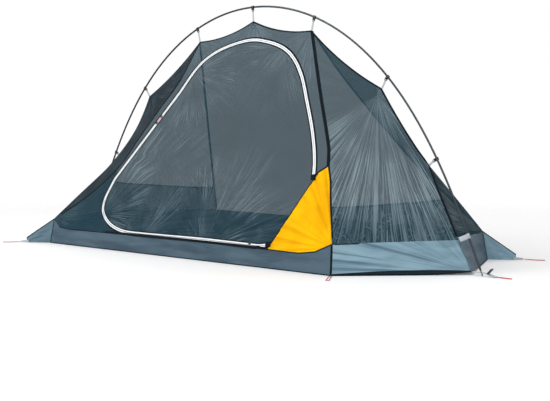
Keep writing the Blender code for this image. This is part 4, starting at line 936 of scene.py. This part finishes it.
print("corner beaks")
beak = {"length": 0.122, "angle": 35.0, "gap": 0.0006, "low": 0.001, "tipHigh": 0.027, "middle": 0.45,
        "rise": 0.46, "sag": 0.0022, "cloth": 0.0007, "tab": 0.028, "tabStart": 0.01,
        "tabTape": {"width": 0.012, "thickness": 0.0022, "taper": ([0, 0.3, 1], [1.05, 1.0, 0.72])},
        "edgeTape": {"width": 0.0045, "thickness": 0.0026}}
angle = radians(beak["angle"])
beakWay = Vector((cos(angle), sin(angle), 0))
# each beak takes a copy of the pale cloth with painted shade or painted light in its colour
for corner, side, word, finish in (("A", -1, "front_left", "beakClothPaintedShade"),
                                   ("D", 1, "back_right", "beakClothPaintedLight")):
    ahead = beakWay * side
    across = Vector((-ahead.y, ahead.x, 0))
    foot, head = Vector(floorCorners[corner]), Vector(wallTops[corner])
    root, far = ahead * beak["gap"], foot + ahead * beak["length"]
    middleHigh = beak["tipHigh"] + beak["rise"] * (head.z - beak["tipHigh"])
    lows = [foot + root + up * beak["low"], far + up * beak["low"]]
    highs = smoothCurve([head + root - up * beak["low"],
                         foot + ahead * beak["length"] * beak["middle"] + up * middleHigh,
                         far + up * beak["tipHigh"]])
    bm = bmesh.new()
    bmesh.ops.create_grid(bm, x_segments=40, y_segments=28, size=0.5)
    uv = []
    for v in bm.verts:
        share, height = v.co.x + 0.5, v.co.y + 0.5
        low = lows[0].lerp(lows[1], share)
        high = Vector(pick(highs, np.linspace(0, 1, len(highs)), share))
        slack = sin(pi * share) * sin(pi * height)
        folds = 0.4 * sin(22 * (height - 0.35 * share) + 3 * share)
        folds += 0.6 * sin(9 * height + 5 * share)
        v.co = low.lerp(high, height) + across * (slack * beak["sag"] * folds * 1.6)
        uv.append((share * beak["length"], height * head.z))
    bm.normal_update()
    if sum((f.normal for f in bm.faces), Vector()).y > 0:
        bmesh.ops.reverse_faces(bm, faces=bm.faces[:])
    slope = ribbon(joinWords(f"beak_edge_{word}"), [Vector(p) - up * 0.002 for p in highs[::2]], up,
                   finish="darkTrim", columns=2, **beak["edgeTape"])
    node = f"corner_beak_{word}"
    addSheet(bm, joinWords(node), finish, node, None, thickness=beak["cloth"], flat=np.array(uv),
             offset=0.0)
    tip = foot + ahead * (beak["length"] - beak["tabStart"])
    stop = foot + ahead * (beak["length"] + beak["tab"])
    run = [tip.lerp(stop, t) + up * (0.0075 - 0.001 * t) for t in np.linspace(0, 1, 8)]
    ribbon(joinWords(f"beak_tab_{word}"), run, up, **beak["tabTape"])

print("cords")
cordLook = {"radius": 0.00125, "turn": 0.0054, "startSpread": 0.0015, "start": 0.0003, "ground": 0.0003,
            "opening": 1.2}
beakReach = beak["length"] + beak["tab"]
sideWay = Vector((0.081, -0.132, 0)).normalized()
endWay = Vector((1, 0, 0))
stakeLoops = {  # the corner that it starts from, its way, how far along that and how high it starts, length
    "left_end": ((0, 0, 0), -endWay, footStrap["end"], footStrap["low"], 0.06),
    "right_end": ((0, 0, 0), endWay, footStrap["end"], footStrap["low"], 0.06),
    "front_left": (floorCorners["A"], -beakWay, beakReach, 0.005, 0.095),
    "back_right": (floorCorners["D"], beakWay, beakReach, 0.005, 0.095),
    "front_right": (floorCorners["B"], sideWay, 0.0002, 0, 0.12),
    "back_left": (floorCorners["E"], -sideWay, 0.0002, 0, 0.12),
}


def addCord(node, points, radius, body):
    name = joinWords(node)
    line = evenly(smoothCurve(points), radius * 2)
    curve = bpy.data.curves.new(name, "CURVE")
    curve.dimensions = "3D"
    curve.bevel_depth = radius
    curve.bevel_resolution = 3
    curve.use_fill_caps = True
    spline = curve.splines.new("POLY")
    spline.points.add(len(line) - 1)
    for spot, place in zip(spline.points, line):
        spot.co = (*place, 1)
    curve.materials.append(finishes["redCord"])
    cord = addObject(name, curve)
    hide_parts(node)
    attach(cord, body)


turn, narrow = cordLook["turn"], cordLook["startSpread"]
rest = cordLook["radius"] + cordLook["ground"]
for word, (corner, way, reach, height, length) in stakeLoops.items():
    # out along one side, round the far end and back along the other
    start, ahead = Vector(corner) + way * reach + up * height, way.normalized()
    across = Vector((-ahead.y, ahead.x, 0))
    level = max(start.z + cordLook["radius"], rest)
    first = start + ahead * cordLook["start"]
    end = first + ahead * (length - turn)
    route = []
    for share in (0.0, 0.25, 0.5, 0.75, 1.0):
        opened = sin(pi * min(share * cordLook["opening"], 0.5))
        spot = first + ahead * (length - turn) * share + across * (narrow + (turn - narrow) * opened)
        spot.z = rest + (level - rest) * (1 - share) ** 2
        route.append(spot)
    for part in (0.25, 0.5, 0.75):
        spot = end + across * turn * cos(pi * part) + ahead * turn * sin(pi * part)
        spot.z = rest
        route.append(spot)
    route += [p - across * 2 * (p - first).dot(across) for p in reversed(route[:5])]
    addCord(f"stake_loop_{word}", route, cordLook["radius"], "tent")

pullLook = {"radius": 0.0009, "length": 0.034, "width": 0.0076, "gap": 0.0021, "under": 0.0033}
sliderPlaces = {"upper": ((-0.4113, -0.1967, 0.6288), 1), "lower": ((-0.4306, -0.2099, 0.5988), -1)}
zipUp, zipAcross = Vector((0.5083, 0.3469, 0.7882)), Vector((-0.8607, 0.1758, 0.4777))
for word, (place, face) in sliderPlaces.items():
    # the upper pull hangs outside the tent and the lower one inside
    level = face * ((pullLook["gap"] if face > 0 else pullLook["under"]) + pullLook["radius"])
    base, hang, bend = Vector(place) + frontOut * level, -zipUp, pullLook["width"] / 2
    side, end = zipAcross * bend, base + hang * (pullLook["length"] - bend)
    route = [base + side, end + side]
    route += [end + side * cos(a) + hang * bend * sin(a) for a in np.linspace(0.3, pi - 0.3, 5)]
    route += [end - side, base - side]
    addCord(f"zip_pull_{word}", route, pullLook["radius"], f"{word}_slider")

print("zip garages")
garage = {"length": 0.026, "before": 0.004, "out": 0.0006, "tape": {"width": 0.022, "thickness": 0.0034}}
for word, first, second in (("Low", 0, 1), ("High", -1, -2)):
    start = Vector(zipRoute[first])
    ahead = (Vector(zipRoute[second]) - start).normalized()
    run = [start + ahead * (garage["length"] * t - garage["before"]) + frontOut * garage["out"]
           for t in np.linspace(0, 1, 6)]
    ribbon(f"zipGarage{word}", run, ahead.cross(frontOut), finish="darkTrim", **garage["tape"])

print("hard parts")
hardParts = {"poleMetal": ("pole_section_",),
             "blackPlastic": ("pole_tip_", "ridge_clip_", "zip_slider_", "fly_buckle_")}
for finish, starts in hardParts.items():
    for name, node in nodes.items():
        if name.startswith(starts):
            node.material_slots[0].material = finishes[finish]
            node.data.shade_smooth()
            weld = node.modifiers.new("weld", "WELD")
            weld.merge_threshold = 0.00001
            split = node.modifiers.new("split", "EDGE_SPLIT")
            split.split_angle = radians(50)

print("small parts")
# lantern ring on its loop under the top tip
lantern = {"place": (0.003, 0, 1.0405), "axis": (0.66, -0.75, 0), "ring": {"radius": 0.0085, "wire": 0.0016},
           "loop": [(0.003, 0, 1.064), (0.003, 0, 1.059), (0.003, 0, 1.054), (0.003, 0, 1.05)],
           "tape": {"width": 0.008, "thickness": 0.0012}}
torus("lanternRing", lantern["place"], lantern["axis"], **lantern["ring"])
ribbon("lanternLoop", lantern["loop"], (0, 1, 0), finish="blackWebbing", **lantern["tape"])
